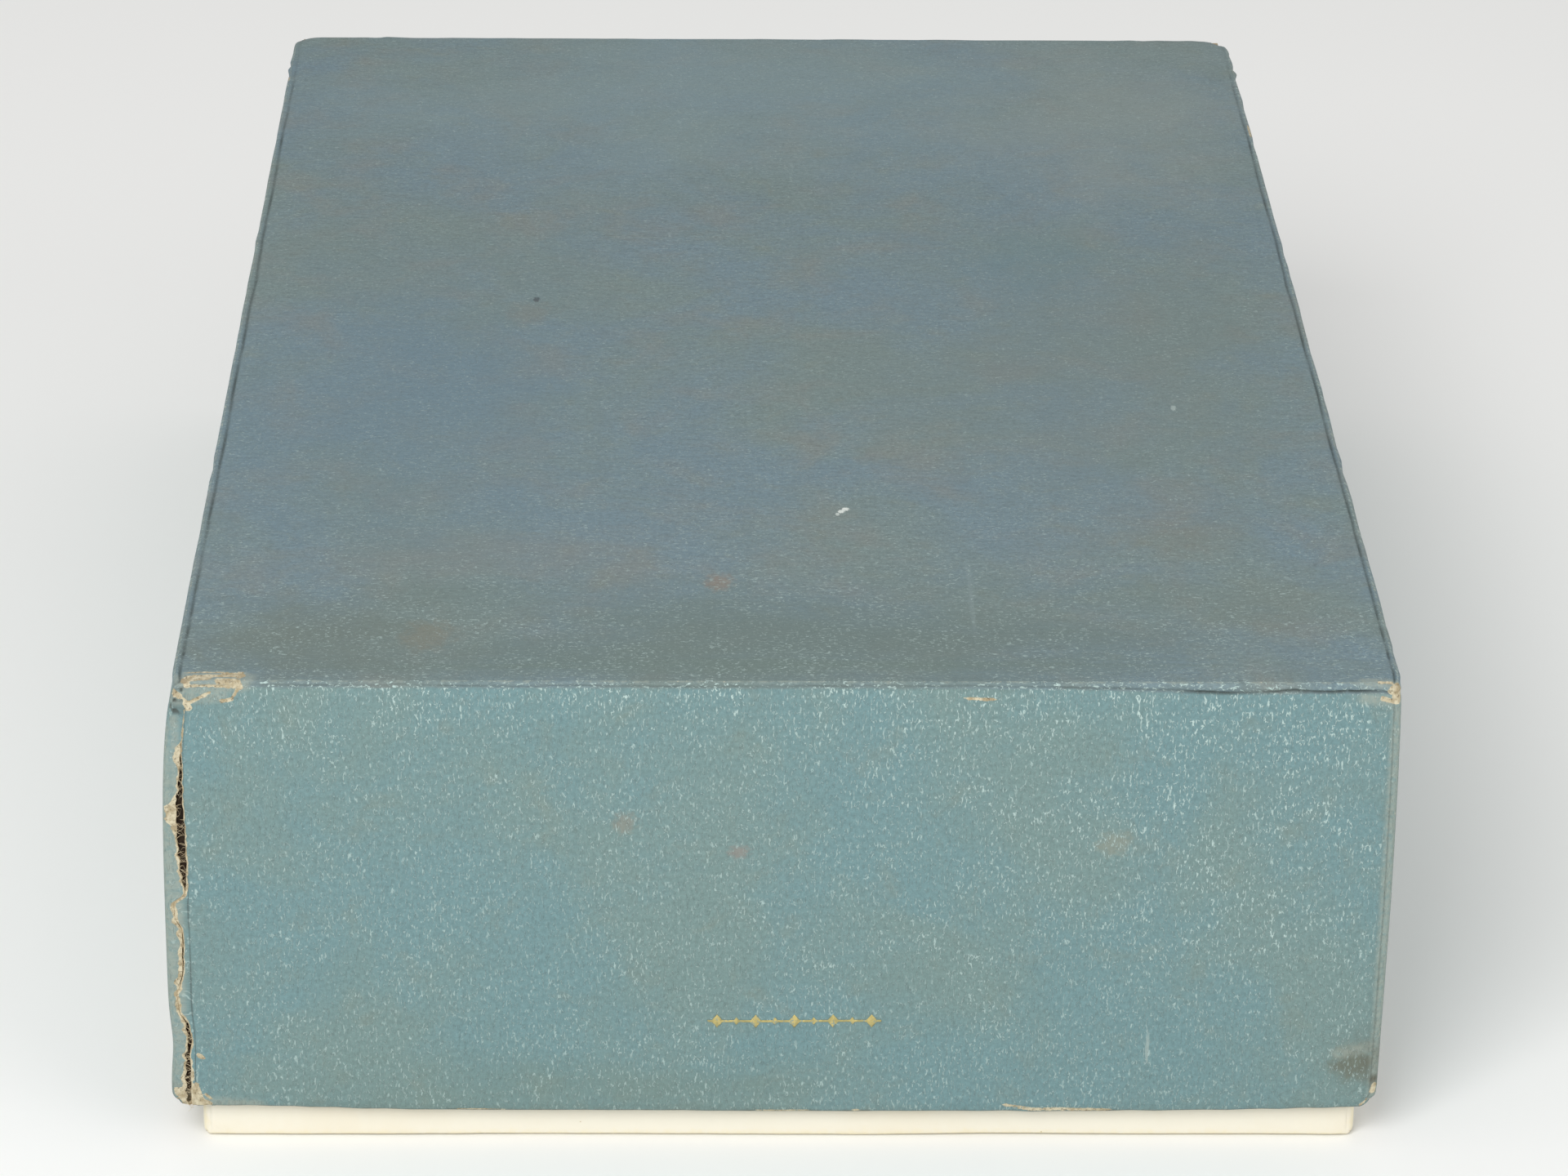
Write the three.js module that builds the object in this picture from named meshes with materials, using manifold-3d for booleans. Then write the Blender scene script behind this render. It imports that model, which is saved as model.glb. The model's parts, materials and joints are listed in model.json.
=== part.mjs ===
// Flat storage box for legal-size papers: a cream tray and a full-depth lid that telescopes down over it.
// Both halves are greyboard panels, taped at the corners and covered in pasted paper. The lid's front left
// corner has split, so its left wall springs outwards there.
// Millimetres, +Z up. X runs across the box, Y along it, and the front end is at -Y.
// The origin is on the ground under the middle of the tray.
import * as THREE from 'three';
import { mergeVertices } from 'three/addons/utils/BufferGeometryUtils.js';
import Module from 'manifold-3d';

const wasm = await Module();
wasm.setup();

// ---- driving dimensions ----
const sheetWidth = 216; // the largest paper that lies flat in the tray
const sheetLength = 356;
const sheetRoom = 3.3; // free space round that paper
const lidHeight = 93.6;
const reveal = 7.7; // how much of the tray shows under the lid's rim
const board = 1.5; // greyboard
const cover = 0.25; // covering paper
const lining = 0.2; // lining paper
const tape = 0.2; // corner tape
const glue = 0.05; // gap between two pasted layers
const clearance = 0.6; // between the tray's outside and the lid's inside, on each side
const lidShift = 0.45; // the lid sits this far towards the right in that clearance
const turnIn = 18; // covering paper folded over a rim
const turnUnder = 15; // covering paper folded under the tray
const liningDrop = 6; // the wall linings stop this far short of the rims
const basePaperInset = 2.5;
const tapeLeg = 20; // each corner tape reaches this far along both walls
const tapeEndGap = 3;

// ---- layers of a wall, as distances in from its outer face ----
const coverInner = cover;
const tapeOuter = coverInner + glue;
const tapeInner = tapeOuter + tape;
const boardOuter = tapeInner + glue;
const boardInner = boardOuter + board;
const turnInOuter = boardInner + glue;
const turnInInner = turnInOuter + cover;
const liningOuter = turnInInner + glue;
const liningInner = liningOuter + lining;

// ---- sizes that follow ----
const trayWidth = sheetWidth + 2 * (sheetRoom + liningInner);
const trayLength = sheetLength + 2 * (sheetRoom + liningInner);
const lidWidth = trayWidth + 2 * (clearance + liningInner);
const lidLength = trayLength + 2 * (clearance + liningInner);
const lidTopBoardUnder = lidHeight - boardInner;
const lidTopLiningUnder = lidTopBoardUnder - glue - lining;
const seatGap = 0.3; // between the tray's rim and the lid's lining when closed
const trayHeight = reveal + lidTopLiningUnder - seatGap;
const trayCoverUnder = cover + glue; // the base paper lies under it
const trayBoardUnder = trayCoverUnder + boardOuter;
const trayBoardTop = trayBoardUnder + board;

// ---- how the lid's long walls have moved out of true ----
const leftSpring = 2.2; // the left wall's end, at the split corner, over and above its bulge
const leftSpringReach = 48; // the spring fades over about this length
const leftBulge = 0.55;
const rightBulge = 0.6;
const bulgeStart = lidTopBoardUnder - glue; // height above the rim at which the walls start to swing out
const bulgeRise = 14; // and the height over which they do it
const backFade = 70; // the walls come true again over this length at the back
const splitStart = 0.9; // the covering parts where the wall has moved out this far
const wallBand = 4; // whatever lies within this distance of a long wall's face moves with it
const stepsAlong = [8, 16, 24, 34, 46, 60, 80, 105, 140, 190, 250, 304, 322, 340, 358];
const stepsDown = [0, 2, 4, 7, 10, 14, 18, 24, 32, 44, 60, 70, 78, 84];
const stationsAlong = stepsAlong.map((s) => s - lidLength / 2);
const stationsUp = stepsDown.map((s) => bulgeStart - s).reverse();

// ---- foil ornament on the front end ----
const foil = 0.1;
const foilX = 2.1;
const foilZ = 20.3;
const foilLength = 34;
const foilHeight = 2.9;
const foilRule = 0.5;
const foilLozenges = 9;

// ---- materials ----
function paint(color, roughness, metalness = 0) {
  return new THREE.MeshStandardMaterial({ color, roughness, metalness });
}

const greyboard = () => paint(0x9a8f7a, 0.95);
const blueGreenPaper = () => paint(0x7f9d9c, 0.6);
const creamPaper = () => paint(0xf3efdf, 0.75);
const liningPaper = () => paint(0xe9e4d2, 0.85);
const kraftTape = () => paint(0xb59a6c, 0.85);
const goldFoil = () => paint(0xc9a54c, 0.35, 0.9);

// ---- shaping ----

// How far a long lid wall stands out, at a distance back from the front and down from where the bulge starts.
function wallOutset(side, along, down) {
  if (down <= 0) return 0;
  const rise = 1 - Math.exp(-down / bulgeRise);
  const trueAtBack = Math.min(1, Math.max(0, (lidLength - along) / backFade));
  if (side < 0) return (leftBulge * trueAtBack + leftSpring * Math.exp(-along / leftSpringReach)) * rise;
  const trueAtRim = Math.min(1, 2 * (1 - down / bulgeStart));
  return rightBulge * trueAtBack * rise * trueAtRim;
}

// Moves a geometry's vertices sideways with the lid's long walls.
function followWalls(geometry) {
  const p = geometry.getAttribute('position');
  for (let i = 0; i < p.count; i++) {
    const x = p.getX(i);
    if (Math.abs(x) < lidWidth / 2 - wallBand) continue;
    p.setX(i, x + Math.sign(x) * wallOutset(Math.sign(x), p.getY(i) + lidLength / 2, bulgeStart - p.getZ(i)));
  }
  return geometry;
}

// A span's two ends with the stations that fall between them.
const cutAt = ([from, to], stations) => [from, ...stations.filter((s) => s > from + 0.5 && s < to - 0.5), to];

// A box from its spans along X, Y and Z. One that bends is cut at the stations and follows the lid's walls.
function box(x, y, z, bends = false) {
  const ys = bends ? cutAt(y, stationsAlong) : y;
  const zs = bends ? cutAt(z, stationsUp) : z;
  const g = new THREE.BoxGeometry(1, 1, 1, 1, ys.length - 1, zs.length - 1);
  const p = g.getAttribute('position');
  const pick = (list, unit) => list[Math.round((unit + 0.5) * (list.length - 1))];
  for (let i = 0; i < p.count; i++) p.setXYZ(i, pick(x, p.getX(i)), pick(ys, p.getY(i)), pick(zs, p.getZ(i)));
  return bends ? followWalls(g) : g;
}

function solid(geometry) {
  const g = geometry.clone();
  g.deleteAttribute('normal');
  g.deleteAttribute('uv');
  const merged = mergeVertices(g, 1e-4);
  const vertProperties = new Float32Array(merged.getAttribute('position').array);
  const triVerts = new Uint32Array(merged.index.array);
  return new wasm.Manifold(new wasm.Mesh({ numProp: 3, vertProperties, triVerts }));
}

function mesh(name, material, shape) {
  let geometry = shape;
  if (!shape.isBufferGeometry) {
    const m = shape.getMesh();
    geometry = new THREE.BufferGeometry();
    geometry.setAttribute('position', new THREE.BufferAttribute(new Float32Array(m.vertProperties), 3));
    geometry.setIndex(new THREE.BufferAttribute(new Uint32Array(m.triVerts), 1));
  }
  geometry.computeVertexNormals();
  const made = new THREE.Mesh(geometry, material());
  made.name = name;
  return made;
}

// ---- parts both halves have ----

// The boards, papers and tapes of one half, all worked out from its outline and whether its walls bend.
class Half {
  constructor(prefix, width, length, bends) {
    Object.assign(this, { prefix, width, length, bends });
    this.group = new THREE.Group();
  }

  // Adds one named piece.
  add(name, material, shape) {
    this.group.add(mesh(`${this.prefix}_${name}`, material, shape));
  }

  // The outline less an inset all round, over a span of heights.
  block(inset, z) {
    const [hx, hy] = [this.width / 2 - inset, this.length / 2 - inset];
    return box([-hx, hx], [-hy, hy], z, this.bends);
  }

  layer(inset, z) {
    return solid(this.block(inset, z));
  }

  // A band round the walls, between two insets.
  band(outer, inner, z) {
    return this.layer(outer, z).subtract(this.layer(inner, [z[0] - 1, z[1] + 1]));
  }

  // Covering paper round the whole half, open at the rim, where it folds in and lies against the boards.
  hollow(z, turn) {
    const plinth = [Math.max(turn[0], z[0] + cover / 2), Math.min(turn[1], z[1] - cover / 2)];
    return this.layer(0, z)
      .subtract(this.layer(coverInner, [z[0] + cover, z[1] - cover]))
      .add(this.layer(turnInOuter, plinth))
      .subtract(this.layer(turnInInner, [turn[0] - 1, turn[1] + 1]));
  }

  // The side boards run the full length and height. The end boards and the flat board stand between them.
  addBoards(flatName, wallZ, flatZ) {
    const flatBelow = flatZ[0] <= wallZ[0];
    const endZ = flatBelow ? [flatZ[1] + glue, wallZ[1]] : [wallZ[0], flatZ[0] - glue];
    const [outX, outY] = [this.width / 2 - boardOuter, this.length / 2 - boardOuter];
    const [inX, inY] = [this.width / 2 - boardInner, this.length / 2 - boardInner];
    const between = [-inX + glue, inX - glue];
    this.add(`${flatName}_board`, greyboard, box(between, [-outY, outY], flatZ));
    this.add('left_board', greyboard, box([-outX, -inX], [-outY, outY], wallZ, this.bends));
    this.add('right_board', greyboard, box([inX, outX], [-outY, outY], wallZ, this.bends));
    this.add('front_board', greyboard, box(between, [-outY, -inY], endZ));
    this.add('back_board', greyboard, box(between, [inY, outY], endZ));
  }

  // An angle of tape round each upright corner. `cut` is what the split takes away.
  addCornerTapes(z, cut) {
    const wrap = this.band(tapeOuter, tapeInner, z);
    const [outX, outY] = [this.width / 2, this.length / 2];
    for (const [side, signX] of [['left', -1], ['right', 1]]) {
      for (const [end, signY] of [['front', -1], ['back', 1]]) {
        const x = [signX * (outX - tapeLeg), signX * (outX + wallBand)].sort((a, b) => a - b);
        const y = [signY * (outY - tapeLeg), signY * (outY + wallBand)].sort((a, b) => a - b);
        const angle = wrap.intersect(solid(box(x, y, [z[0] - 1, z[1] + 1])));
        this.add(`corner_tape_${end}_${side}`, kraftTape, cut ? angle.subtract(cut) : angle);
      }
    }
  }

  // Lining paper on the flat, and a band of it round the walls.
  addLinings(flatName, flatZ, wallZ) {
    this.add(`${flatName}_lining`, liningPaper, flatLining(this.width, this.length, flatZ));
    this.add('wall_lining', liningPaper, this.band(liningOuter, liningInner, wallZ));
  }
}

function flatLining(width, length, z) {
  const [hx, hy] = [width / 2 - turnInOuter, length / 2 - turnInOuter];
  return box([-hx, hx], [-hy, hy], z);
}

// ---- tray ----
function makeTray() {
  const tray = new Half('tray', trayWidth, trayLength, false);
  const boardZ = [trayBoardUnder, trayHeight - boardOuter];
  tray.addBoards('base', boardZ, [trayBoardUnder, trayBoardTop]);
  tray.addCornerTapes([boardZ[0] + tapeEndGap, boardZ[1] - tapeEndGap]);

  // The covering is a band round the walls, turned over the rim and turned under the base board.
  const rimTurn = [trayHeight - turnIn, trayHeight];
  const covering = tray
    .hollow([trayCoverUnder, trayHeight], rimTurn)
    .subtract(tray.layer(turnUnder, [trayCoverUnder - 1, trayCoverUnder + 1]));
  tray.add('cover_paper', creamPaper, covering);
  tray.add('base_paper', creamPaper, tray.block(basePaperInset, [0, cover]));

  const floorTop = trayBoardTop + glue + lining;
  tray.addLinings('floor', [trayBoardTop + glue, floorTop], [floorTop + glue, trayHeight - liningDrop]);
  return tray.group;
}

// ---- lid, with its rim at z = 0 ----

// The split down the front left corner: it opens between the sprung wall's end and the front's own covering.
function makeSplit() {
  const wallFace = -lidWidth / 2 + boardInner;
  const moved = (z) => wallOutset(-1, 0, bulgeStart - z);
  const open = [-1, ...stationsUp].filter((z) => moved(z) > splitStart);
  const wallEdge = open.map((z) => new THREE.Vector2(wallFace - moved(z), z));
  const frontEdge = open.map((z) => new THREE.Vector2(wallFace - splitStart, z)).reverse();
  const depth = 1 + tapeInner + glue / 2;
  const outline = new THREE.Shape([...wallEdge, ...frontEdge]);
  const g = new THREE.ExtrudeGeometry(outline, { depth, bevelEnabled: false });
  g.rotateX(Math.PI / 2); // the outline's height now runs up Z, and its depth towards -Y
  return solid(g.translate(0, depth - 1 - lidLength / 2, 0));
}

// A rule with lozenges threaded on it, drawn flat and stood up against the front end.
function makeFoilOrnament() {
  const pitch = foilLength / foilLozenges;
  const half = foilRule / 2;
  const end = foilLength / 2;
  const smallLozenge = 0.55;
  const slenderness = 0.8;
  const lozenges = Array.from({ length: foilLozenges }, (_, i) => {
    const middle = (i + 0.5) * pitch - end;
    const tall = (i % 2 ? smallLozenge : 1) * (foilHeight / 2);
    return [[middle - tall * slenderness, half], [middle, tall], [middle + tall * slenderness, half]];
  });
  const upper = [[-end, half], ...lozenges.flat(), [end, half]];
  const lower = upper.map(([x, z]) => [x, -z]).reverse();
  const outline = new THREE.Shape([...upper, ...lower].map(([x, z]) => new THREE.Vector2(x, z)));
  return new THREE.ExtrudeGeometry(outline, { depth: foil, bevelEnabled: false }).rotateX(Math.PI / 2);
}

function makeLid() {
  const lid = new Half('lid', lidWidth, lidLength, true);
  const split = makeSplit();
  const boardZ = [boardOuter, lidHeight - boardOuter];
  lid.addBoards('top', boardZ, [lidTopBoardUnder, boardZ[1]]);
  lid.addCornerTapes([boardZ[0] + tapeEndGap, lidTopBoardUnder - tapeEndGap], split);

  // The covering is one sheet over the top and down the walls, turned in round the rim.
  const covering = lid.hollow([0, lidHeight], [0, turnIn]).subtract(split);
  lid.add('cover_paper', blueGreenPaper, covering);
  lid.addLinings('top', [lidTopLiningUnder, bulgeStart], [liningDrop, lidTopLiningUnder - glue]);

  lid.add('foil_ornament', goldFoil, makeFoilOrnament().translate(foilX, -lidLength / 2 - glue, foilZ));
  lid.group.position.set(lidShift, 0, reveal);
  return lid.group;
}

const storageBox = new THREE.Group();
storageBox.add(makeTray(), makeLid());

export default storageBox;
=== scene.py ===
"""The looks of a paper-covered storage box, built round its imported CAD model.

The box is a cream tray under a full-depth lid. The lid is covered in blue-green paper with an embossed
leather grain, and its front left corner has split from near the top down to the rim. Shapes are worked out
in millimetres, in the frame of the half they belong to, and are put into the row frame, in metres, as each
mesh is made.
"""

import json
import logging
import math
from collections.abc import Sequence
from dataclasses import dataclass, field
from enum import Enum

import bpy
import numpy as np
from mathutils import Matrix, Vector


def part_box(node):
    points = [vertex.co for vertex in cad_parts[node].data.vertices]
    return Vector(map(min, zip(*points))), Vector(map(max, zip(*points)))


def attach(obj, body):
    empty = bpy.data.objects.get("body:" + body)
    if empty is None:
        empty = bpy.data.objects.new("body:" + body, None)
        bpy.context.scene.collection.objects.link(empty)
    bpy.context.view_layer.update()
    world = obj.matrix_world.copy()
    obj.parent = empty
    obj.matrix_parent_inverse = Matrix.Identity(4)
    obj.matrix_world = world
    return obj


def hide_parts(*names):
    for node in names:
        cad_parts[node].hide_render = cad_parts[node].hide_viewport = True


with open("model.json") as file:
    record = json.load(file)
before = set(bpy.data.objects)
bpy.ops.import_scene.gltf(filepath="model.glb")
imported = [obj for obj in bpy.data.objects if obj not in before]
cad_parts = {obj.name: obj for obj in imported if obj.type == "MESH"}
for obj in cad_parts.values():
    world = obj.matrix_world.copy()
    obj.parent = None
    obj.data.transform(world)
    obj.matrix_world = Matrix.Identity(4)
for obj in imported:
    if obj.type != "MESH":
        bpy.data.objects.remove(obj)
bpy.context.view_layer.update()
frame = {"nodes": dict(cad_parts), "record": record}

MM = 0.001
log = logging.getLogger("storage_box")

Array = np.ndarray


# --------------------------------------------------------------------------------------------------
# Number helpers
# --------------------------------------------------------------------------------------------------


def graded(*stretches: tuple[float, float]) -> Array:
    """Positions from zero upwards, in stretches that each run to an end in equal steps.

    Args:
        stretches: pairs of a stretch's end and roughly how long its steps are.

    Returns:
        The positions, starting with zero.
    """
    cuts = [np.zeros(1)]
    start = 0.0
    for end, step in stretches:
        count = max(1, round((end - start) / step))
        cuts.append(np.linspace(start, end, count + 1)[1:])
        start = end
    return np.concatenate(cuts)


def ease(value: Array, low: float, high: float) -> Array:
    """The smooth step from 0 at low to 1 at high: t squared times (3 - 2t)."""
    t = np.clip((np.asarray(value, float) - low) / (high - low), 0, 1)
    return t * t * (3 - 2 * t)


def bell(value: Array, width: float) -> Array:
    """The bell curve, e to the power of minus (value / width) squared."""
    return np.exp(-((np.asarray(value, float) / width) ** 2))


def ripple(u: Array, v: Array, wavelength: float, seed: int, waves: int = 7) -> Array:
    """Smooth irregular waves, the scaled sum of sines with seeded directions, lengths and phases.

    Args:
        u: first coordinate, in millimetres.
        v: second coordinate, in millimetres.
        wavelength: typical wavelength, in millimetres.
        seed: picks the pattern.
        waves: how many sines are added.

    Returns:
        Values mostly between -1 and 1, in the shape of u and v together.
    """
    rng = np.random.default_rng(seed)
    angle = rng.uniform(0, 2 * np.pi, waves)
    length = wavelength * rng.uniform(0.6, 1.6, waves)
    phase = rng.uniform(0, 2 * np.pi, waves)
    total = np.zeros(np.broadcast(u, v).shape)
    for turn, reach, start in zip(angle, length, phase):
        total += np.sin(2 * np.pi / reach * (u * np.cos(turn) + v * np.sin(turn)) + start)
    return total / math.sqrt(waves) / 1.1


def srgb(red: int, green: int, blue: int) -> tuple[float, float, float, float]:
    """A display colour, 0 to 255 a channel, as the linear colour that a shader socket takes."""
    def linear(channel: int) -> float:
        c = channel / 255
        return c / 12.92 if c <= 0.04045 else ((c + 0.055) / 1.055) ** 2.4

    return linear(red), linear(green), linear(blue), 1.0


# --------------------------------------------------------------------------------------------------
# The two halves' plans, read from the CAD frame
# --------------------------------------------------------------------------------------------------

BOARD_OUTER = 0.55  # from a wall's outer face to its board: paper and tape
BOARD_INNER = 2.05
BOARD_GAP = 0.05
TURN_IN_FACE = 2.35  # from a wall's outer face to the inner face of the paper turned in at its rim


class Corner(Enum):
    """The four upright corners, as signs along X and Y."""

    FRONT_LEFT = (-1, -1)
    FRONT_RIGHT = (1, -1)
    BACK_LEFT = (-1, 1)
    BACK_RIGHT = (1, 1)


@dataclass(frozen=True)
class HalfPlan:
    """One half of the box, in millimetres. Its own frame has z = 0 at its lowest edge.

    Attributes:
        half_x: from the middle to a side wall's outer face.
        half_y: from the middle to an end wall's outer face.
        height: from the lowest edge to the highest.
        shift: where the middle stands along X in the row frame.
        lift: the height of the lowest edge in the row frame.
        body: the CAD body it rides on.
    """

    half_x: float
    half_y: float
    height: float
    shift: float
    lift: float
    body: str

    @classmethod
    def read(cls, body: str, flat_board: str) -> "HalfPlan":
        """Works the plan out from the CAD covering and the board that spans between the side boards.

        Args:
            body: the CAD body, which is also the prefix of its nodes.
            flat_board: the name of that board's node.

        Returns:
            The plan.
        """
        cover_low, cover_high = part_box(f"{body}_cover_paper")
        flat_low, flat_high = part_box(flat_board)
        to_mm = 1 / MM
        return cls(
            half_x=(flat_high.x - flat_low.x) / 2 * to_mm + BOARD_INNER + BOARD_GAP,
            half_y=(cover_high.y - cover_low.y) / 2 * to_mm,
            height=(cover_high.z - cover_low.z) * to_mm,
            shift=(flat_high.x + flat_low.x) / 2 * to_mm,
            lift=cover_low.z * to_mm,
            body=body,
        )

    def from_corner(self, points: Array, corner: Corner) -> Array:
        """Points as distances inboard, back along the side, and down from the top, all from one corner."""
        sign_x, sign_y = corner.value
        inboard = self.half_x - sign_x * points[..., 0]
        along = self.half_y - sign_y * points[..., 1]
        return np.stack([inboard, along, self.height - points[..., 2]], -1)

    def vector_from_corner(self, inward: Sequence[float], corner: Corner) -> Array:
        """A direction given as inboard, along and down, turned into X, Y and Z."""
        sign_x, sign_y = corner.value
        return np.array([-sign_x * inward[0], -sign_y * inward[1], -inward[2]], float)


# --------------------------------------------------------------------------------------------------
# Wear and the split
# --------------------------------------------------------------------------------------------------


@dataclass(frozen=True)
class Lean:
    """How far the lid's long walls lean out of true, in millimetres; the left bulges more than the CAD's."""

    left_spring: float = 2.2
    left_reach: float = 48.0
    left_bulge: float = 0.75
    right_bulge: float = 0.6
    start: float = 2.1
    rise: float = 14.0
    back_fade: float = 70.0
    end_fade: float = 9.0

    def outset(self, side: int, along: Array, down: Array, plan: HalfPlan) -> Array:
        """How far a wall stands out: a rise that fades with depth, times a bulge and a fading spring.

        Args:
            side: -1 for the left wall, 1 for the right.
            along: distance back from the front face.
            down: distance below the lid's top.
            plan: the lid's plan.

        Returns:
            The outset at each place.
        """
        below = np.maximum(np.asarray(down, float) - self.start, 0)
        rise = 1 - np.exp(-below / self.rise)
        true_at_back = np.clip((2 * plan.half_y - along) / self.back_fade, 0, 1)
        if side < 0:
            spring = self.left_spring * np.exp(-np.asarray(along, float) / self.left_reach)
            return (self.left_bulge * true_at_back + spring) * rise
        true_at_rim = np.clip(2 * (1 - below / (plan.height - self.start)), 0, 1)
        return self.right_bulge * true_at_back * rise * true_at_rim

    def carried(self, points: Array, side: int, plan: HalfPlan) -> Array:
        """How far points near one long wall go along X with it, fading over the end walls by a bell curve."""
        along, down = points[..., 1] + plan.half_y, plan.height - points[..., 2]
        fade = bell(plan.half_x - side * points[..., 0], self.end_fade)
        return side * self.outset(side, along, down, plan) * fade


@dataclass(frozen=True)
class Scuff:
    """A stroke that has lost its paper's coloured face: a capsule between two points given from a corner.

    Each point is inboard, along and down, in millimetres.
    """

    corner: Corner
    start: tuple[float, float, float]
    end: tuple[float, float, float]
    radius: float

    def depth(self, points: Array, plan: HalfPlan) -> Array:
        """How far inside the stroke each point lies: its radius less the distance to its centre line."""
        local = plan.from_corner(points, self.corner)
        start, along = np.array(self.start), np.subtract(self.end, self.start)
        reach = max(float(along @ along), 1e-9)
        t = np.clip((local - start) @ along / reach, 0, 1)
        nearest = start + t[..., None] * along
        return self.radius - np.linalg.norm(local - nearest, axis=-1)


@dataclass(frozen=True)
class Dent:
    """A soft push that fades with distance. Centre and push are inboard, along and down, in millimetres."""

    corner: Corner
    centre: tuple[float, float, float]
    radius: float
    push: tuple[float, float, float]

    def moved(self, points: Array, plan: HalfPlan) -> Array:
        """The movement of each point: the push times a bell curve of its distance from the centre."""
        local = plan.from_corner(points, self.corner)
        weight = bell(np.linalg.norm(local - np.array(self.centre), axis=-1), self.radius)
        return weight[..., None] * plan.vector_from_corner(self.push, self.corner)


@dataclass(frozen=True)
class Rounding:
    """A rim corner worn round, seen from the end: the square inside it is drawn onto a quarter disc.

    Attributes:
        corner: which upright corner it is at the foot of.
        outset: how far the side wall stands outside its true line there.
        radius: the size of the square and of the disc.
        reach: how fast the wear fades along the side wall.
    """

    corner: Corner
    outset: float
    radius: float
    reach: float = 4.0

    def moved(self, points: Array, plan: HalfPlan) -> Array:
        """The movement: each point keeps its direction from the disc's centre, at its larger coordinate."""
        local = plan.from_corner(points, self.corner)
        dx = (self.radius - self.outset - local[..., 0]).clip(0, self.radius)
        dz = (self.radius - points[..., 2]).clip(0, self.radius)
        shrink = 1 - np.maximum(dx, dz) / np.maximum(np.hypot(dx, dz), 1e-9)
        shrink = shrink * (dx > 0) * (dz > 0) * bell(local[..., 1].clip(0, None), self.reach)
        sign_x = self.corner.value[0]
        return np.stack([-sign_x * dx * shrink, 0 * dx, dz * shrink], -1)


@dataclass(frozen=True)
class Split:
    """The split down the front left corner, as places at depths below the lid's top, in millimetres.

    Each knot gives the depth, then the left lip, the right lip and the edge of the front flap, all inboard
    of the corner's true line, and then how wide the paper has torn away to the split's left and right.
    """

    top: float = 5.8
    knots: tuple[tuple[float, ...], ...] = (
        (0.0, 2.20, 2.20, 2.80, 0.00, 0.00),
        (5.8, 2.55, 2.55, 2.80, 0.10, 0.06),
        (10.0, 2.05, 2.12, 2.35, 0.12, 0.08),
        (13.2, 1.70, 1.80, 2.05, 0.20, 0.08),
        (14.9, 1.50, 1.65, 1.95, 1.10, 0.10),
        (17.2, 1.15, 1.62, 1.88, 0.75, 0.12),
        (19.0, 0.90, 1.62, 1.85, 0.30, 0.14),
        (22.5, 0.55, 1.55, 1.80, 0.28, 0.16),
        (24.6, 0.20, 1.53, 1.75, 0.35, 0.16),
        (26.4, 0.10, 1.54, 1.74, 1.40, 0.18),
        (28.9, 0.02, 1.63, 1.80, 2.00, 0.18),
        (31.0, 0.00, 1.68, 1.84, 1.10, 0.20),
        (33.0, 0.02, 1.70, 1.86, 0.35, 0.24),
        (39.5, 0.40, 1.80, 1.95, 0.35, 0.30),
        (43.5, 0.90, 1.55, 1.97, 0.35, 0.35),
        (46.0, 1.15, 1.22, 1.97, 0.35, 0.50),
        (47.6, -1.00, -0.92, 1.96, 0.50, 0.60),
        (50.9, -1.00, -0.90, 1.95, 0.45, 0.50),
        (53.4, 0.35, 0.52, 1.93, 0.85, 0.20),
        (57.3, 0.30, 0.65, 1.92, 0.85, 0.14),
        (61.0, 0.25, 0.55, 1.90, 0.85, 0.14),
        (64.5, -0.10, 0.15, 1.90, 0.85, 0.20),
        (67.8, -1.25, -1.10, 1.88, 0.60, 0.45),
        (72.3, -0.75, -0.62, 1.87, 0.55, 0.50),
        (74.3, 0.00, 0.65, 1.87, 0.55, 0.30),
        (78.3, 0.15, 1.15, 1.87, 0.35, 0.30),
        (80.9, -0.35, 0.60, 1.87, 0.45, 0.30),
        (84.6, -0.25, 0.95, 1.88, 0.40, 0.40),
        (88.0, -0.25, 1.00, 1.90, 0.60, 0.80),
        (93.6, -0.05, 1.00, 1.90, 2.00, 2.60),
    )

    def at(self, down: Array) -> Array:
        """The five widths at each depth, in a last axis.

        They are read along straight lines between the knots. Then both lips wander together, the gap and the
        torn widths swell and shrink, each by a seeded ripple down the split.

        Args:
            down: depths below the lid's top.

        Returns:
            The left lip, the right lip, the flap's edge, and the torn widths to the left and right.
        """
        table = np.array(self.knots)
        left, right, flap, torn_left, torn_right = (
            np.interp(down, table[:, 0], table[:, c]) for c in range(1, table.shape[1])
        )
        wander = 0.1 * ripple(down, 0 * down, 3.2, 31) + 0.07 * ripple(down, 0 * down, 1.7, 32)
        wander = wander * ease(down, self.top, self.top + 3)
        swell = 0.22 * (right - left).clip(0, 1) * ripple(down, 0 * down, 2.4, 33)
        torn_left = torn_left * (1 + 0.45 * ripple(down, 0 * down, 2.1, 34))
        torn_right = torn_right * (1 + 0.45 * ripple(down, 0 * down, 2.0, 35))
        return np.stack([left + wander - swell, right + 0.6 * wander, flap, torn_left, torn_right], -1)


# --------------------------------------------------------------------------------------------------
# Meshes
# --------------------------------------------------------------------------------------------------


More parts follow.
